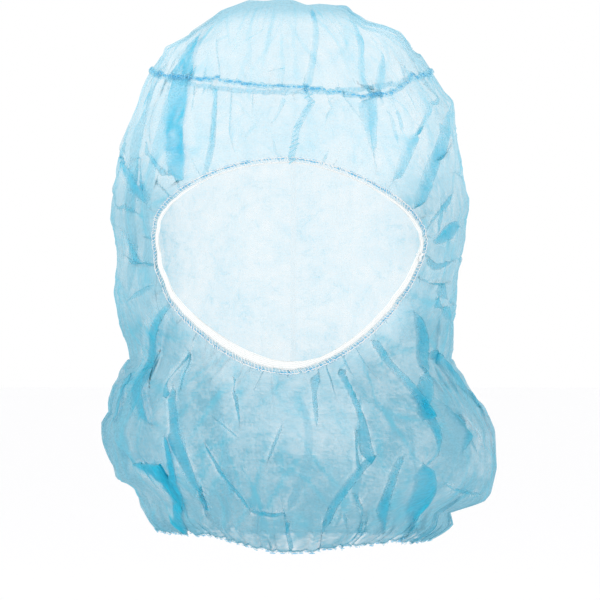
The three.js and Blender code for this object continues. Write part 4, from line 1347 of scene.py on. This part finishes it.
for piece, nodes, slotName in (
    (body, ["hood_body"], "nonwoven_cloth"),
    (crown, ["crown_panel"], "nonwoven_cloth"),
    (crownSeam, ["crown_seam"], "nonwoven_cloth"),
    (foreheadSeam, ["forehead_seam"], "nonwoven_cloth"),
    (neckHem, ["neck_hem"], "nonwoven_cloth"),
    (faceElastic, ["face_elastic"], "white_elastic"),
    (elasticKnot, [], "white_elastic"),
    (faceStitches, [], "seam_thread"),
    (faceChain, [], "seam_thread"),
    (crownStitches, [], "seam_thread"),
    (foreheadStitches, [], "seam_thread"),
    (hemStitches, [], "seam_thread"),
    (faceGathers, [], "nonwoven_cloth"),
    (crownGathers, [], "nonwoven_cloth"),
    (hemGathers, [], "nonwoven_cloth"),
):
    if piece in (body, crown):
        piece.data.materials.append(cloth)
    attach(piece, "root")
    if nodes:
        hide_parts(*nodes)

studio = {  # in metres
    "distance": 2.2,
    "frameWidth": 0.30,
    "centre": (0.005, -0.1473),  # x and z the camera looks along
    "farthest": 20,
    "floorDrop": 0.16,
    "floorReach": 12.0,
    "floorColour": "#fdfdfe",
    "lampAim": (0, 0, -0.12),
    "lampSize": 0.9,
    "lamps": {"key": ((-1.5, -1.2, 1.0), 8), "fill": ((1.8, -0.7, 0.2), 4)},  # places and watts
}


def makeCamera():
    data = bpy.data.cameras.new("camera")
    data.lens = data.sensor_width * studio["distance"] / studio["frameWidth"]
    data.clip_end = studio["farthest"]
    camera = bpy.data.objects.new("camera", data)
    camera.location = (studio["centre"][0], -studio["distance"], studio["centre"][1])
    camera.rotation_euler = (math.pi / 2, 0, 0)
    bpy.context.scene.collection.objects.link(camera)
    bpy.context.scene.camera = camera


def makeFloor():
    # a wide disc, so that it is the same from every side
    floorZ = cadBounds[0][2] / metre - studio["floorDrop"] / metre
    reach = studio["floorReach"] / metre
    sides = 96
    turn = np.arange(sides) / sides * 2 * math.pi
    rim = np.stack([reach * np.cos(turn), reach * np.sin(turn), np.full(sides, floorZ)], -1)
    pale = plainMaterial("paleFloor", studio["floorColour"], 0.95)
    makeObject("studioFloor", rim, [tuple(range(sides))], material=pale)


def makeLight():
    world = bpy.data.worlds.new("studio")
    world.use_nodes = True
    background = world.node_tree.nodes["Background"]
    background.inputs["Color"].default_value = (1, 1, 1, 1)
    background.inputs["Strength"].default_value = 1.0
    bpy.context.scene.world = world
    for name, (place, power) in studio["lamps"].items():
        data = bpy.data.lights.new(name, "AREA")
        data.shape = "DISK"
        data.size = studio["lampSize"]
        data.energy = power
        lamp = bpy.data.objects.new(name, data)
        lamp.location = place
        aim = Vector(studio["lampAim"]) - Vector(place)
        lamp.rotation_euler = aim.to_track_quat("-Z", "Y").to_euler()
        bpy.context.scene.collection.objects.link(lamp)


print("studio")
makeCamera()
makeFloor()
makeLight()
scene = bpy.context.scene
scene.view_settings.view_transform = "Standard"
scene.cycles.transparent_max_bounces = 64
